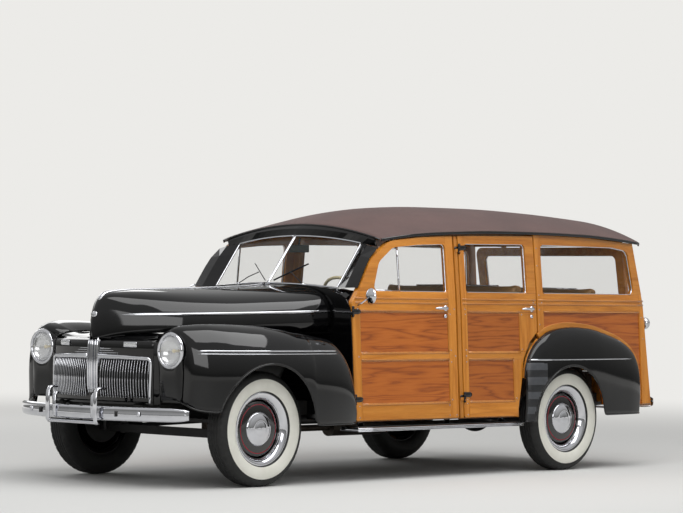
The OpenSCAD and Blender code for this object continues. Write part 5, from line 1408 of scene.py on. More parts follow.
# ---- wheels
def build_wheels():
    for front, x, y in (("front", FA, FRONT_Y), ("rear", RA, REAR_Y)):
        for side, s in (("left", 1), ("right", -1)):
            body = "%s_wheel_%s" % (front, side)
            c, axis = (x, s * y, AXLE_Z), (0, s, 0)
            tyre = Shape()
            prof = [(222, 56, 0), (226, 66, 0), (233, 73, 1), (246, 79, 1), (262, 83, 1), (280, 84.5, 1), (296, 83.5, 1),
                    (308, 80.5, 1), (316, 78, 0), (322, 76.5, 0), (330, 72, 0), (338, 67, 0), (345, 61, 0), (350, 54, 0)]
            for k in range(5):
                a = 46 - 21 * k
                prof += [(353 - (0.6 if k in (0, 4) else 0), a, 0), (354.5, a - 2, 0), (354.8, a - 15, 0), (353.5, a - 16, 0), (346, a - 17, 0),
                         (346, a - 19.5, 0)] if k < 4 else [(353, a, 0), (353, a - 8, 0)]
            back = [(350, -54, 0), (345, -61, 0), (338, -67, 0), (330, -72, 0), (316, -78, 0), (296, -83.5, 0),
                    (280, -84.5, 0), (262, -83, 0), (246, -79, 0), (233, -73, 0), (226, -66, 0), (222, -56, 0), (216, -50, 0), (216, 50, 0)]
            prof += back
            n = 240
            axis_v = Vector(axis)
            u, w = Vector((1, 0, 0)), Vector((0, 0, 1))
            rows, mats = [], []
            for r, d, m in prof:
                row = []
                for k in range(n):
                    a = 2 * math.pi * k / n
                    rr = r
                    if 343 < r < 354 and abs(d) > 45 and k % 5 == 0:
                        rr = r - 5
                    elif r > 353 and k % 5 == 0 and abs(d) < 46:
                        rr = r - 3
                    row.append(tuple(Vector(c) + axis_v * d + (u * math.cos(a) + w * math.sin(a)) * rr))
                rows.append(row)
                mats.append(m)
            rows.append(rows[0])
            mats.append(0)
            for i in range(len(rows) - 1):
                v, f = grid(rows[i:i + 2], closed=True)
                tyre.put(v, f, 1 if mats[i] and mats[i + 1] else 0)
            piece("%s_tyre_%s" % (front, side) + "_tread", body, tyre, ["tyre_rubber", "white_wall"],
                  ["%s_tyre_%s" % (front, side)], outward=True)
            disc = Shape()
            lathe(disc, [(219, 59), (221, 61), (224, 60), (225, 56), (222, 52), (214, 49), (206, 46), (198, 42), (192, 30), (190, 14),
                         (180, 12), (172, 22), (160, 28), (140, 31), (120, 33), (104, 34), (80, 34), (40, 34), (0.01, 34)], c, axis, 96)
            lathe(disc, [(0.01, 4), (60, 6), (100, 12), (150, 6), (176, -4), (190, -20), (192, -44), (205, -50), (218, -56), (222, -58), (225, -57), (224, -53), (216, -48)], c, axis, 96)
            lathe(disc, [(216, -48), (200, -30), (196, 0), (200, 30), (214, 49)], c, axis, 96)
            lathe(disc, [(153.5, 29.6), (152, 30.6), (149, 31.0), (147.5, 30.4)], c, axis, 96, mat=1)
            piece(body + "_disc", body, disc, ["wheel_enamel", "stripe_enamel"], [body], outward=True)
            cap = Shape()
            lathe(cap, [(227, 57), (229, 61), (226, 65), (218, 66), (208, 63), (198, 57), (190, 49), (185, 41), (183, 36),
                        (181, 34), (181, 30)], c, axis, 128)
            lathe(cap, [(0.01, 60), (18, 59.6), (34, 58), (46, 55), (49, 53.4), (52, 54), (64, 52), (78, 48.5), (88, 45),
                        (91, 43.6), (95, 43.6), (101, 40), (105, 35), (106, 30)], c, axis, 96)
            piece(body + "_cap", body, cap, ["chrome_plate"], outward=True)
            valve = Shape()
            a = 0.6 + x
            p0 = Vector(c) + axis_v * 42 + Vector((math.cos(a), 0, math.sin(a))) * 174
            p1 = Vector(c) + axis_v * 62 + Vector((math.cos(a), 0, math.sin(a))) * 168
            tube(valve, [tuple(p0), tuple(p0.lerp(p1, 0.5)), tuple(p1)], 3.6, n=8, up=(1, 0, 0))
            piece(body + "_valve", body, valve, ["cast_black"], outward=True)


# ---- cabin
def cushion(name, lo, hi, lean=0.0):
    """A rounded slab swollen with cloth, ready for finish_cushion; lean is its tilt backwards."""
    size = Vector(hi) - Vector(lo)
    bm = bmesh.new()
    bmesh.ops.create_cube(bm, size=1)
    bmesh.ops.transform(bm, matrix=Matrix.Diagonal(size - Vector((26, 20, 26))).to_4x4(), verts=bm.verts)
    bmesh.ops.bevel(bm, geom=bm.edges, offset=26, segments=3, affect="EDGES", profile=0.6)
    turn = Matrix.Rotation(lean, 3, "Y")
    mid = (Vector(hi) + Vector(lo)) / 2
    mesh = bpy.data.meshes.new(name)
    for v in bm.verts:
        v.co = v.co * 0.001
    bm.to_mesh(mesh)
    bm.free()
    ob = bpy.data.objects.new(name, mesh)
    bpy.context.scene.collection.objects.link(ob)
    rem = ob.modifiers.new("Remesh", "REMESH")
    rem.mode = "VOXEL"
    rem.voxel_size = 0.012
    graph = bpy.context.evaluated_depsgraph_get()
    ob.data = bpy.data.meshes.new_from_object(ob.evaluated_get(graph))
    ob.modifiers.clear()
    before = np.empty(len(ob.data.vertices) * 3)
    ob.data.vertices.foreach_get("co", before)
    before = before.reshape(-1, 3)
    after = before.copy()
    cloth = ob.modifiers.new("Cloth", "CLOTH")
    cs = cloth.settings
    cs.use_pressure = True
    cs.uniform_pressure_force = 4.0
    cs.effector_weights.gravity = 0.0
    cs.quality = 4
    scene = bpy.context.scene
    cloth.point_cache.frame_start, cloth.point_cache.frame_end = 1, 20
    for k in range(1, 21):
        scene.frame_set(k)
    graph = bpy.context.evaluated_depsgraph_get()
    puffed = bpy.data.meshes.new_from_object(ob.evaluated_get(graph))
    ob.modifiers.clear()
    scene.frame_set(1)
    flat = np.empty(len(puffed.vertices) * 3)
    puffed.vertices.foreach_get("co", flat)
    after = flat.reshape(-1, 3)
    move = after - before
    far = np.linalg.norm(move, axis=1)
    keep = np.minimum(1.0, 0.022 / np.maximum(far, 1e-9))
    after = before + move * keep[:, None]
    half = size * 0.0005
    # where each point lies in the slab, from -1 to 1
    u = before[:, 0] / half.x
    w = before[:, 1] / half.y
    t = before[:, 2] / half.z
    bulge = np.clip(1 - w**4, 0, 1)
    return ob, after, (u, w, t), bulge, turn, mid, half


def finish_cushion(name, body, parts, face, pitch, box, stands):
    ob, co, (u, w, t), bulge, turn, mid, half = parts
    lo, hi = Vector(box[0]) * 0.001, Vector(box[1]) * 0.001
    y = co[:, 1] * 1000
    groove = np.exp(-((np.abs((y / pitch - 0.5) % 1 - 0.5) * pitch) / 5.0) ** 2)
    edge = np.clip((1 - np.abs(w)) * 6, 0, 1)
    if face == "up":
        mask = np.clip((t - 0.3) * 3, 0, 1) * edge * np.clip((0.82 - np.abs(u)) * 6, 0, 1)
        co[:, 2] -= groove * mask * 0.007
        co[:, 2] += (np.clip(1 - u**2, 0, 1) * bulge * np.clip(t, 0, 1)) * 0.008
        co[:, 2] -= np.clip(-u - 0.2, 0, 1) * np.clip(t, 0, 1) * 0.010
    else:
        mask = np.clip((u - 0.3) * 3, 0, 1) * edge * np.clip((0.82 - np.abs(t)) * 6, 0, 1)
        co[:, 0] -= groove * mask * 0.007
        co[:, 0] += (np.clip(1 - t**2, 0, 1) * bulge * np.clip(u, 0, 1)) * 0.006
    turn3 = np.array(turn)
    co = co @ turn3.T + np.array(mid) * 0.001
    co = np.clip(co, np.array(lo), np.array(hi))
    ob.data.vertices.foreach_set("co", co.ravel())
    ob.data.materials.clear()
    ob.data.materials.append(material("seat_hide"))
    ob.data.polygons.foreach_set("use_smooth", [True] * len(ob.data.polygons))
    sub = ob.modifiers.new("Subdivision", "SUBSURF")
    sub.levels = sub.render_levels = 1
    graph = bpy.context.evaluated_depsgraph_get()
    ob.data = bpy.data.meshes.new_from_object(ob.evaluated_get(graph))
    ob.modifiers.clear()
    ob.data.name = name
    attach(ob, body)
    if stands:
        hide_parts(*stands)
    return ob


def bench(label, node, x0, depth, top, back_top, half_w, base):
    """Seat cushion, back cushion and a hide-covered plinth of one bench."""
    pitch = 2 * half_w / 12
    lo, hi = (x0 - depth + 20, -half_w + 4, top - 146), (x0 - 2, half_w - 4, top - 14)
    parts = cushion(label + "_cushion", lo, hi)
    finish_cushion(label + "_cushion", "body", parts, "up", pitch,
                   ((x0 - depth - 4, -half_w, top - 150), (x0 + 6, half_w, top + 6)), [node])
    lean = -math.atan(74 / (back_top - top))
    lo, hi = (x0 - depth - 120, -half_w + 4, top - 118), (x0 - depth - 20, half_w - 4, back_top - 6)
    parts = cushion(label + "_back", lo, hi, lean)
    finish_cushion(label + "_back", "body", parts, "front", pitch,
                   ((x0 - depth - 162, -half_w, top - 150), (x0 - depth + 30, half_w, back_top)), [])
    s = Shape()
    block(s, (x0 - depth - 58, -half_w + 30, top - 158), (x0 - 20, half_w - 30, top - 140), bevel=8)
    for y in (-half_w + 60, half_w - 100):
        block(s, (x0 - depth + 10, y, base), (x0 - 60, y + 40, top - 150), bevel=4)
    piece(label + "_plinth", "body", s, ["brown_hide"])
    # grab rail behind the back
    c = Shape()
    z = back_top - 40
    x = x0 - depth - 158 + 4
    path = [(x + 10, -half_w * 0.6, z), (x - 2, -half_w * 0.58, z), (x - 4, 0, z + 4), (x - 2, half_w * 0.58, z), (x + 10, half_w * 0.6, z)]
    tube(c, path, 7, n=10)
    piece(label + "_rail", "body", c, ["chrome_plate"], outward=True)


def build_seats():
    bench("front_bench", "front_seat", COWL - 560, 470, 820, 1245, 640, 524.4)
    bench("middle_bench", "middle_seat", QUARTER + 500, 450, 850, 1300, 640, 524.4)
    bench("rear_bench", "rear_seat", RA - 120, 440, 860, 1288, 560, 652.4)


def build_steering_wheel():
    hub, tilt = Vector((385, 380, 1125)), math.radians(35)
    axis = Vector((math.cos(tilt), 0, -math.sin(tilt)))
    u, w = Vector((0, 1, 0)), axis.cross(Vector((0, 1, 0)))
    s, c = Shape(), Shape()
    # finger grips all round the rim
    rows = []
    for k in range(96):
        a = 2 * math.pi * k / 96
        out = u * math.cos(a) + w * math.sin(a)
        r = 10.6 - 0.9 * (k % 4 == 0)
        rows.append([tuple(hub + out * (211 + r * math.cos(b)) + axis * r * math.sin(b)) for b in
                     (2 * math.pi * j / 16 for j in range(16))])
    rows.append(rows[0])
    v, f = grid(rows, closed=True)
    s.put(v, f)
    for a in (math.radians(-90), math.radians(30), math.radians(150)):
        out = u * math.cos(a) + w * math.sin(a)
        path = [tuple(hub + out * d + axis * (22 - 22 * (d / 205) ** 1.5)) for d in (30, 70, 110, 150, 180, 204)]
        sweep(s, path, [(x, y * 0.45) for x, y in circle(13, 14)], [tuple(-axis)] * 6, scale=[1.5, 1.25, 1, 0.85, 0.8, 0.9])
    lathe(s, [(0.01, -2), (20, -1), (34, 6), (42, 16), (44, 26), (36, 36), (24, 50), (21, 58)], hub, axis, 48)
    lathe(c, [(0.01, -9), (14, -8.5), (24, -5), (29, 0), (30, 5)], hub, axis, 48)
    ring = [tuple(hub + (u * math.cos(a) + w * math.sin(a)) * 122 + axis * 2) for a in (2 * math.pi * k / 72 for k in range(72))]
    tube(c, ring, 3.6, n=8, up=[tuple(axis)] * 72, closed=True)
    for a in (math.radians(-90), math.radians(30), math.radians(150)):
        out = u * math.cos(a) + w * math.sin(a)
        tube(c, [tuple(hub + out * d + axis * (3 - 3 * d / 122)) for d in (26, 60, 90, 121)], 3.0, n=8, up=[tuple(axis)] * 4)
    piece("steering_wheel_rim", "steering_wheel", s, ["ivory_plastic"], ["steering_wheel"], outward=True)
    piece("horn_ring", "steering_wheel", c, ["chrome_plate"], outward=True)
    col = Shape()
    tube(col, [tuple(hub + axis * d) for d in (60, 120, 180, 260, 330)], 18, n=24, up=(0, 1, 0))
    lever = hub + axis * 92
    tube(col, [tuple(lever), tuple(lever + Vector((-6, -60, 8))), tuple(lever + Vector((-16, -130, 22)))], 4.5, n=8)
    lathe(col, [(0.01, -14), (7, -12), (10, -4), (9, 6), (5, 10), (0.01, 11)], lever + Vector((-18, -138, 24)), (-0.1, -1, 0.15), 16)
    piece("steering_column", "steering_wheel", col, ["dash_enamel"], outward=True)


def build_dashboard():
    s, c, g = Shape(), Shape(), Shape()
    rows = []
    for k in range(41):
        y = -680 + 1360 * k / 40
        rows.append([(623, y, 990), (613, y, 1000), (612, y, 1060), (618, y, 1098), (634, y, 1111), (660, y, 1112), (688, y, 1112),
                     (712, y, 986), (690, y, 985), (640, y, 985)])
    v, f = grid(rows, closed=True)
    n = len(rows[0])
    f += [tuple(range(n)), tuple(range(len(v) - n, len(v)))]
    s.put(v, f)
    piece("dash_panel", "body", s, ["dash_enamel"], ["dashboard"], outward=True)
    for y, r in ((380, 62), (250, 40), (510, 40), (0, 46)):
        lathe(c, [(r - 4, 1), (r - 2, 5), (r + 2, 6), (r + 4, 3), (r + 5, -2), (r - 4, -2)], (611, y, 1052), (-1, 0, 0), 48)
        lathe(g, [(0.01, 0.5), (r - 4, 0.5), (r - 3, -3), (0.01, -3)], (611, y, 1052), (-1, 0, 0), 48)
        for k in range(11):
            a = math.radians(-120 + 24 * k)
            p = Vector((609.6, y + math.sin(a) * (r - 12), 1052 + math.cos(a) * (r - 12)))
            q = Vector((609.6, y + math.sin(a) * (r - 7), 1052 + math.cos(a) * (r - 7)))
            tube(c, [tuple(p), tuple(q)], 0.9, n=4, up=(1, 0, 0))
        tube(c, [(609, y, 1052), (609, y - (r - 12) * 0.7, 1052 + (r - 12) * 0.5)], 1.0, n=4, up=(1, 0, 0))
    for y in (90, 130, 170, -90, -130, -170):
        lathe(c, [(0.01, 14), (7, 13), (9, 10), (7, 6), (4, 4), (4, -2)], (612, y, 1025), (-1, 0, 0), 16)
    for z in (1006, 1096):
        sweep(c, [(610 if z < 1050 else 618, y, z) for y in np.linspace(-660, 660, 20)], half_round(6, 3), (-1, 0, 0))
    for k in range(9):
        sweep(c, [(610.5, y, 1020 + 8 * k) for y in (-60 - 140, -60 - 340)], half_round(3, 2), (-1, 0, 0))
    piece("dash_brights", "body", c, ["chrome_plate"], outward=True)
    piece("dial_faces", "body", g, ["dial_face"], outward=True)


def ws_point(y, t, back=0.0):
    """A point on the windshield's plane at half width y, t up from its foot."""
    k = min(abs(y) / 555, 1.28)
    x = (769 - 65 * k) * (1 - t) + (520 - 38 * k) * t
    z = (1256 - 26 * k * k) * (1 - t) + (1571 - 47 * k * k) * t
    return (x - back, y, z)


def build_windshield_trim():
    c, d = Shape(), Shape()
    for side in (1, -1):
        ring = [ws_point(side * y, 0.0) for y in np.linspace(6, 562, 16)]
        ring += [ws_point(side * 566, t) for t in np.linspace(0.05, 0.95, 12)]
        ring += [ws_point(side * y, 1.0) for y in np.linspace(562, 6, 16)]
        ring += [ws_point(side * 6, t) for t in np.linspace(0.95, 0.05, 12)]
        out = Vector((0.78, 0, 0.62))
        tube_path = [tuple(Vector(p) + out * 2.0) for p in ring]
        sweep(c, tube_path, [(-6, -3), (6, -3), (5, 2.5), (0, 4), (-5, 2.5)], [tuple(out)] * len(ring), closed=True)
        # wiper: arm, hinge and blade with its rubber
        foot = Vector(ws_point(side * 300, 0.02)) + Vector((14, 0, -8))
        lathe(c, [(0.01, 14), (7, 13), (11, 8), (12, 0), (12, -6)], foot, (0.6, 0, 0.8), 20)
        mid = (Vector(ws_point(side * 150, 0.22)) + out * 10)
        tube(d, [tuple(foot + out * 8), tuple(foot.lerp(mid, 0.5) + out * 12), tuple(mid)], 3.2, n=8, up=tuple(out))
        a, b = Vector(ws_point(side * 40, 0.05)) + out * 6, Vector(ws_point(side * 250, 0.42)) + out * 6
        sweep(d, [tuple(a.lerp(b, k / 10) + out * (2 * math.sin(math.pi * k / 10))) for k in range(11)],
              [(-3, -5), (3, -5), (1.5, 5), (-1.5, 5)], tuple(out))
    sweep(c, [ws_point(0, t, -4) for t in np.linspace(-0.01, 1.0, 14)], [(-9, -4), (9, -4), (7, 4), (0, 6), (-7, 4)], (0.78, 0, 0.62))
    piece("windshield_surround", "body", c, ["chrome_plate"], outward=True)
    piece("wipers", "body", d, ["rubber_seal"], outward=True)
    m, g = Shape(), Shape()
    # round mirror on the left door pillar
    base = Vector((760, 806, 1120))
    head = Vector((722, 882, 1178))
    tube(m, [tuple(base), tuple(base + Vector((-6, 30, 14))), tuple(head + Vector((8, -20, -16))), tuple(head + Vector((6, 0, -2)))], 5, n=10)
    lathe(m, [(0.01, 24), (16, 22), (34, 15), (47, 5), (52, 0), (53, -4), (50, -7)], head, (1, -0.12, 0.02), 48)
    lathe(g, [(50, -6), (0.01, -5)], head, (1, -0.12, 0.02), 48)
    piece("door_mirror", "front_door_left", m, ["chrome_plate"], outward=True)
    piece("door_mirror_glass", "front_door_left", g, ["lamp_mirror"])
    r = Shape()
    block(r, (478, -92, 1462), (492, 92, 1512), bevel=7, segments=3)
    tube(r, [(486, 0, 1505), (482, 0, 1530), (474, 0, 1556)], 5, n=8, up=(0, 1, 0))
    piece("inside_mirror", "body", r, ["cast_black"], outward=True)


def build_hinges_and_post():
    s = Shape()
    # leaves and barrels of the rear door hinges on the centre post
    for z in (520, 1500):
        place = on_side("rear")
        p = place(-249, -8.5, z)
        lathe(s, [(0.01, 36), (5, 35), (8.8, 31), (9, 0), (9, -31), (8.8, -31), (5, -35), (0.01, -36)], p, (0, 0, 1), 20)
        path = [tuple(place(-243 + 34 * k / 6, -1.5, z)) for k in range(7)]
        sweep(s, path, [(-15, -2), (15, -2), (13, 2.2), (-13, 2.2)], [Vector((0, 1, 0))] * 7, scale=[1] * 5 + [0.8, 0.5])
    for z in (520, 1080):
        place = on_side("front")
        p = place(775, -8.5, z)
        lathe(s, [(0.01, 36), (5, 35), (8.8, 31), (9, 0), (9, -31), (8.8, -31), (5, -35), (0.01, -36)], p, (0, 0, 1), 20)
    s.mirrored()
    piece("post_hinges", "body", s, ["black_lacquer"], outward=True)
    w = Shape()
    board(w, rect(-237, -211, 392, top_z(-224) - 3), on_side("rear"), 1.5, 8, mat=0, edge=2)
    w.mirrored()
    piece("centre_post_facing", "body", w, ["maple_upright"], outward=True)


KEEP = {"frame": "chassis_black", "engine": "engine_green", "radiator": "radiator_core", "fuel_tank": "chassis_black",
        "exhaust": "exhaust_steel", "front_axle": "chassis_black", "rear_axle": "chassis_black", "floor": "floor_mat",
        "cowl": "black_lacquer", "body_frame": "maple_upright", "windshield": "window_glass",
        "quarter_glass": "window_glass", "liftgate_glass": "window_glass", "front_glass_left": "window_glass",
        "front_glass_right": "window_glass", "rear_glass_left": "window_glass", "rear_glass_right": "window_glass",
        "knuckle_left": "cast_black", "knuckle_right": "cast_black", "tie_rod": "cast_black"}


def build_screws():
    fd = [(-110, z) for z in (404, 470)] + [(-178, 404), (690 + 40, 404), (730, 478)]
    fd += [(-140, 505), (-140, 752), (-140, 830), (-140, 1066), (-180, 791), (724, 791), (724, 1096), (-180, 1100)]
    rd = [(-285, z) for z in (404, 478, 791, 1100, 505, 752, 830, 1066)] + [(-836, 1066), (-836, 832), (-960, 1150), (-766, 505)]
    for side, s in (("left", 1), ("right", -1)):
        for label, pts, slab in (("front", fd, "front"), ("rear", rd, "rear")):
            spots = [(tuple(Vector((1, s, 1)) * 1.0 * on_side(slab)(x, -0.3, z)), (0, s, 0)) for x, z in pts]
            scatter("%s_door_screws_%s" % (label, side), "%s_door_%s" % (label, side), screw_head(4.5, 1.6), spots, finish="bright_steel")
    q = [(-1020, z) for z in (1000, 1100, 1200, 1400, 1520)] + [(-1048, 1150), (-2170, 1150), (-2170, 1050), (-2180, 900)]
    screws("quarter_screws", "body", q, "quarter", 4.5)
    t = [(y, z) for y in (-662, 662) for z in (680, 800, 960, 1090)] + [(y, z) for y in (-30, 30) for z in (690, 1085)]
    screws("tailgate_screws", "tailgate", t)
    screws("liftgate_screws", "liftgate", [(y, z) for y in (-655, 655) for z in (1150, 1300, 1440)])


# ---- sizes and colours that a user would change
def colour_property(name, text, code):
    return bpy.props.FloatVectorProperty(name=name, description=text, subtype="COLOR", size=3, min=0, max=1,
                                         default=linear(code)[:3])


class WagonColours(bpy.types.PropertyGroup):
    lacquer: colour_property("Lacquer", "Colour of the painted steel panels", "#050506")
    roof: colour_property("Roof cloth", "Colour of the coated roof cloth", "#4c3835")
    hide: colour_property("Seat hide", "Colour of the seat cushions", "#b98a4e")
    stripe: colour_property("Wheel stripe", "Colour of the painted ring on each wheel", "#7d0f22")
    wall: colour_property("White wall", "Colour of the tyre's side band", "#dcdbd2")


class WagonSizes(bpy.types.PropertyGroup):
    bar_count: bpy.props.IntProperty(name="Grille bars", description="Upright bars on each side of the grille",
                                     default=19, min=8, max=30)
    screw_size: bpy.props.FloatProperty(name="Screw size", description="Scale of every screw head", default=1.0,
                                        min=0.5, max=1.5, subtype="FACTOR")
    lens_flutes: bpy.props.IntProperty(name="Lens flutes", description="Flutes each side of the headlight's middle",
                                       default=9, min=4, max=12)


class StageSizes(bpy.types.PropertyGroup):
    key_power: bpy.props.FloatProperty(name="Key light", description="Power of the large overhead lamp", default=330.0,
                                       min=0, unit="POWER")
    lens: bpy.props.FloatProperty(name="Lens", description="Focal length of the camera", default=145.1, min=10,
                                  unit="CAMERA")


class WagonOperator:
    bl_options = {"REGISTER", "UNDO"}


class WAGON_OT_body_panels(WagonOperator, bpy.types.Operator):
    """Builds the hood, the fenders and their mouldings"""
    bl_idname = "wagon.body_panels"
    bl_label = "Steel panels"

    def execute(self, context):
        build_hood()
        build_front_fenders()
        build_rear_fenders()
        return {"FINISHED"}


class WAGON_OT_front_end(WagonOperator, bpy.types.Operator):
    """Builds the grille, the lamps and the bumpers"""
    bl_idname = "wagon.front_end"
    bl_label = "Grille, lamps and bumpers"

    def execute(self, context):
        build_grille()
        build_lamps()
        build_bumpers()
        return {"FINISHED"}


class WAGON_OT_windshield(WagonOperator, bpy.types.Operator):
    """Builds the windshield's surround, the wipers and the mirrors"""
    bl_idname = "wagon.windshield"
    bl_label = "Windshield trim"

    def execute(self, context):
        build_windshield_trim()
        return {"FINISHED"}


class WAGON_OT_steps(WagonOperator, bpy.types.Operator):
    """Builds the running boards with their ribbed rubber"""
    bl_idname = "wagon.steps"
    bl_label = "Running boards"

    def execute(self, context):
        build_running_boards()
        return {"FINISHED"}


class WAGON_OT_roof(WagonOperator, bpy.types.Operator):
    """Builds the cloth roof, its drip edge, liner and bows"""
    bl_idname = "wagon.roof"
    bl_label = "Roof"

    def execute(self, context):
        build_roof()
        return {"FINISHED"}


class WAGON_OT_doors(WagonOperator, bpy.types.Operator):
    """Builds the woodwork, lining and hardware of the four doors"""
    bl_idname = "wagon.doors"
    bl_label = "Doors"

    def execute(self, context):
        build_front_doors()
        build_rear_doors()
        build_hinges_and_post()
        return {"FINISHED"}


class WAGON_OT_rear_body(WagonOperator, bpy.types.Operator):
    """Builds the quarters, tailgate and liftgate"""
    bl_idname = "wagon.rear_body"
    bl_label = "Quarters and gates"

    def execute(self, context):
        build_quarters()
        build_gates()
        build_screws()
        return {"FINISHED"}


class WAGON_OT_wheels(WagonOperator, bpy.types.Operator):
    """Builds the four wheels and tyres"""
    bl_idname = "wagon.wheels"
    bl_label = "Wheels"

    def execute(self, context):
        build_wheels()
        return {"FINISHED"}


class WAGON_OT_cabin(WagonOperator, bpy.types.Operator):
    """Builds the seats, the dashboard and the steering wheel"""
    bl_idname = "wagon.cabin"
    bl_label = "Cabin"

    def execute(self, context):
        build_seats()
        build_steering_wheel()
        build_dashboard()
        return {"FINISHED"}


class WAGON_OT_chassis(WagonOperator, bpy.types.Operator):
    """Gives the chassis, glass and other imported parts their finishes"""
    bl_idname = "wagon.chassis"
    bl_label = "Chassis and glass"

    def execute(self, context):
        for name, finish in KEEP.items():
            refinish(name, finish)
        return {"FINISHED"}


def seen_plain(tree):
    """1 for what the camera sees itself, in a mirror or through glass."""
    path = add(tree, "ShaderNodeLightPath")
    a = add(tree, "ShaderNodeMath", {"operation": "MAXIMUM"},
            {0: path.outputs["Is Camera Ray"], 1: path.outputs["Is Transmission Ray"]}).outputs[0]
    return add(tree, "ShaderNodeMath", {"operation": "MAXIMUM"}, {0: a, 1: path.outputs["Is Glossy Ray"]}).outputs[0]


def seen_direct(tree):
    """1 for what the camera sees itself or through glass."""
    path = add(tree, "ShaderNodeLightPath")
    return add(tree, "ShaderNodeMath", {"operation": "MAXIMUM"},
               {0: path.outputs["Is Camera Ray"], 1: path.outputs["Is Transmission Ray"]}).outputs[0]


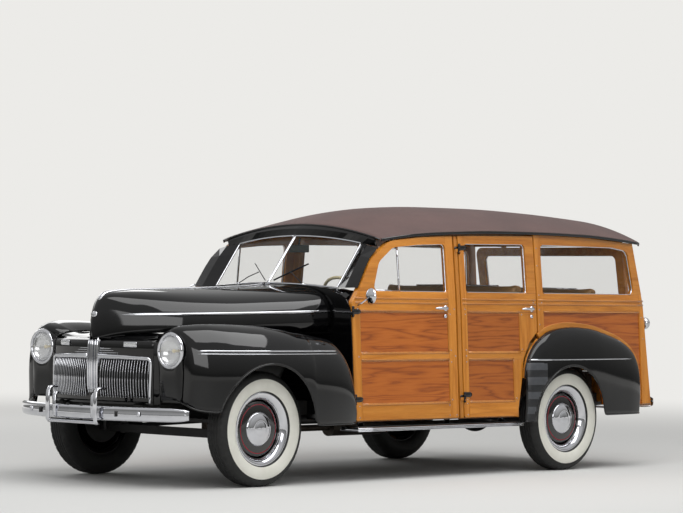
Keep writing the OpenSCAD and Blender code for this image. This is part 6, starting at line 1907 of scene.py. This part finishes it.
class WAGON_OT_stage(WagonOperator, bpy.types.Operator):
    """Builds the pale floor, the soft lights and the camera"""
    bl_idname = "wagon.stage"
    bl_label = "Stage"

    def execute(self, context):
        scene = context.scene
        scene.view_settings.view_transform = "Standard"
        floor = bpy.data.meshes.new("floor_plane")
        n = 60.0
        floor.from_pydata([(-n, -n, 0), (n, -n, 0), (n, n, 0), (-n, n, 0)], [], [(0, 1, 2, 3)])
        m = bpy.data.materials.new("studio_floor")
        m.use_nodes = True
        t = m.node_tree
        t.nodes.clear()
        b = add(t, "ShaderNodeBsdfPrincipled", inputs={"Base Color": linear("#c9c9c7"), "Roughness": 0.9})
        # the far floor melts into the pale background
        co = add(t, "ShaderNodeTexCoord").outputs["Object"]
        far = add(t, "ShaderNodeVectorMath", {"operation": "LENGTH"}, {0: co}).outputs["Value"]
        far = add(t, "ShaderNodeMapRange", {"interpolation_type": "SMOOTHSTEP"},
                  {"Value": far, "From Min": 4.0, "From Max": 15.0}).outputs[0]
        glow = add(t, "ShaderNodeEmission", inputs={"Color": linear("#ecebe8"), "Strength": 1.0})
        share = add(t, "ShaderNodeMath", {"operation": "MULTIPLY"}, {0: far, 1: seen_plain(t)}).outputs[0]
        b = add(t, "ShaderNodeMixShader", inputs={0: share, 1: b.outputs[0], 2: glow.outputs[0]})
        add(t, "ShaderNodeOutputMaterial", inputs={"Surface": b.outputs[0]})
        floor.materials.append(m)
        ob = bpy.data.objects.new("floor_plane", floor)
        scene.collection.objects.link(ob)
        world = bpy.data.worlds.new("studio")
        scene.world = world
        world.use_nodes = True
        t = world.node_tree
        t.nodes.clear()
        # soft sky: bright above, darker at the horizon, so that polished panels show a gradient
        co = add(t, "ShaderNodeTexCoord").outputs["Generated"]
        z = add(t, "ShaderNodeSeparateXYZ", inputs={"Vector": co}).outputs["Z"]
        sky = ramp(t, z, [(0.0, "#8a8a88"), (0.08, "#b9b9b6"), (0.4, "#f2f2f2"), (1.0, "#ffffff")])
        dim = add(t, "ShaderNodeBackground", inputs={"Color": sky, "Strength": 0.62}).outputs[0]
        pale = add(t, "ShaderNodeBackground", inputs={"Color": linear("#ecebe8"), "Strength": 1.0}).outputs[0]
        # mirrors keep most of the soft sky, so that polished panels show its gradient
        mix = add(t, "ShaderNodeMixShader", inputs={0: seen_direct(t), 1: dim, 2: pale}).outputs[0]
        add(t, "ShaderNodeOutputWorld", inputs={"Surface": mix})
        # a long soft box over the car and a tall one in front
        for name, place, size, power, look in (
                ("overhead", (0.5, 2.5, 5.5), (8, 4), context.scene.wagon_stage.key_power, (0, 0, 0.8)),
                ("front_side", (7.5, 6.5, 3.4), (5, 3), 130.0, (0.3, 0, 0.8)),
                ("far_side", (-2, -8, 4), (6, 3), 110.0, (0, 0, 0.8))):
            lamp = bpy.data.lights.new(name, "AREA")
            lamp.shape, lamp.size, lamp.size_y, lamp.energy = "RECTANGLE", size[0], size[1], power
            lo = bpy.data.objects.new(name, lamp)
            lo.location = place
            lo.rotation_euler = (Vector(look) - Vector(place)).to_track_quat("-Z", "Y").to_euler()
            scene.collection.objects.link(lo)
        cam = bpy.data.cameras.new("camera")
        cam.sensor_width = 36
        cam.lens = context.scene.wagon_stage.lens
        cam.clip_end = 200
        co = bpy.data.objects.new("camera", cam)
        az, el, roll = math.radians(46.04), math.radians(0.79), math.radians(0.75)
        d = Vector((-math.sin(az) * math.cos(el), -math.cos(az) * math.cos(el), math.sin(el)))
        r = d.cross(Vector((0, 0, 1))).normalized()
        u = r.cross(d)
        r2 = r * math.cos(roll) + u * math.sin(roll)
        u2 = u * math.cos(roll) - r * math.sin(roll)
        rot = Matrix((r2, u2, -d)).transposed().to_4x4()
        co.matrix_world = Matrix.Translation((13.4227, 12.8694, 1.1875)) @ rot
        scene.collection.objects.link(co)
        scene.camera = co
        return {"FINISHED"}


OPERATORS = (WAGON_OT_body_panels, WAGON_OT_front_end, WAGON_OT_windshield, WAGON_OT_steps, WAGON_OT_roof,
             WAGON_OT_doors, WAGON_OT_rear_body, WAGON_OT_wheels, WAGON_OT_cabin, WAGON_OT_chassis, WAGON_OT_stage)


class WAGON_PT_panel(bpy.types.Panel):
    """Lists the parts of the wagon and its sizes and colours"""
    bl_label = "Wagon"
    bl_idname = "WAGON_PT_panel"
    bl_space_type = "VIEW_3D"
    bl_region_type = "UI"
    bl_category = "Wagon"

    def draw(self, context):
        for group in ("wagon_sizes", "wagon_colours", "wagon_stage"):
            box = self.layout.box()
            holder = getattr(context.scene, group)
            for key in holder.__annotations__:
                box.prop(holder, key)
        for op in OPERATORS:
            self.layout.operator(op.bl_idname)


GROUPS = {"wagon_sizes": WagonSizes, "wagon_colours": WagonColours, "wagon_stage": StageSizes}


def register():
    for c in tuple(GROUPS.values()) + OPERATORS + (WAGON_PT_panel,):
        bpy.utils.register_class(c)
    for key, group in GROUPS.items():
        setattr(bpy.types.Scene, key, bpy.props.PointerProperty(type=group))


def unregister():
    for key in GROUPS:
        delattr(bpy.types.Scene, key)
    for c in reversed(tuple(GROUPS.values()) + OPERATORS + (WAGON_PT_panel,)):
        bpy.utils.unregister_class(c)


def main():
    register()
    random.seed(11)
    for op in OPERATORS:
        group, name = op.bl_idname.split(".")
        getattr(getattr(bpy.ops, group), name)()


if __name__ == "__main__":
    main()
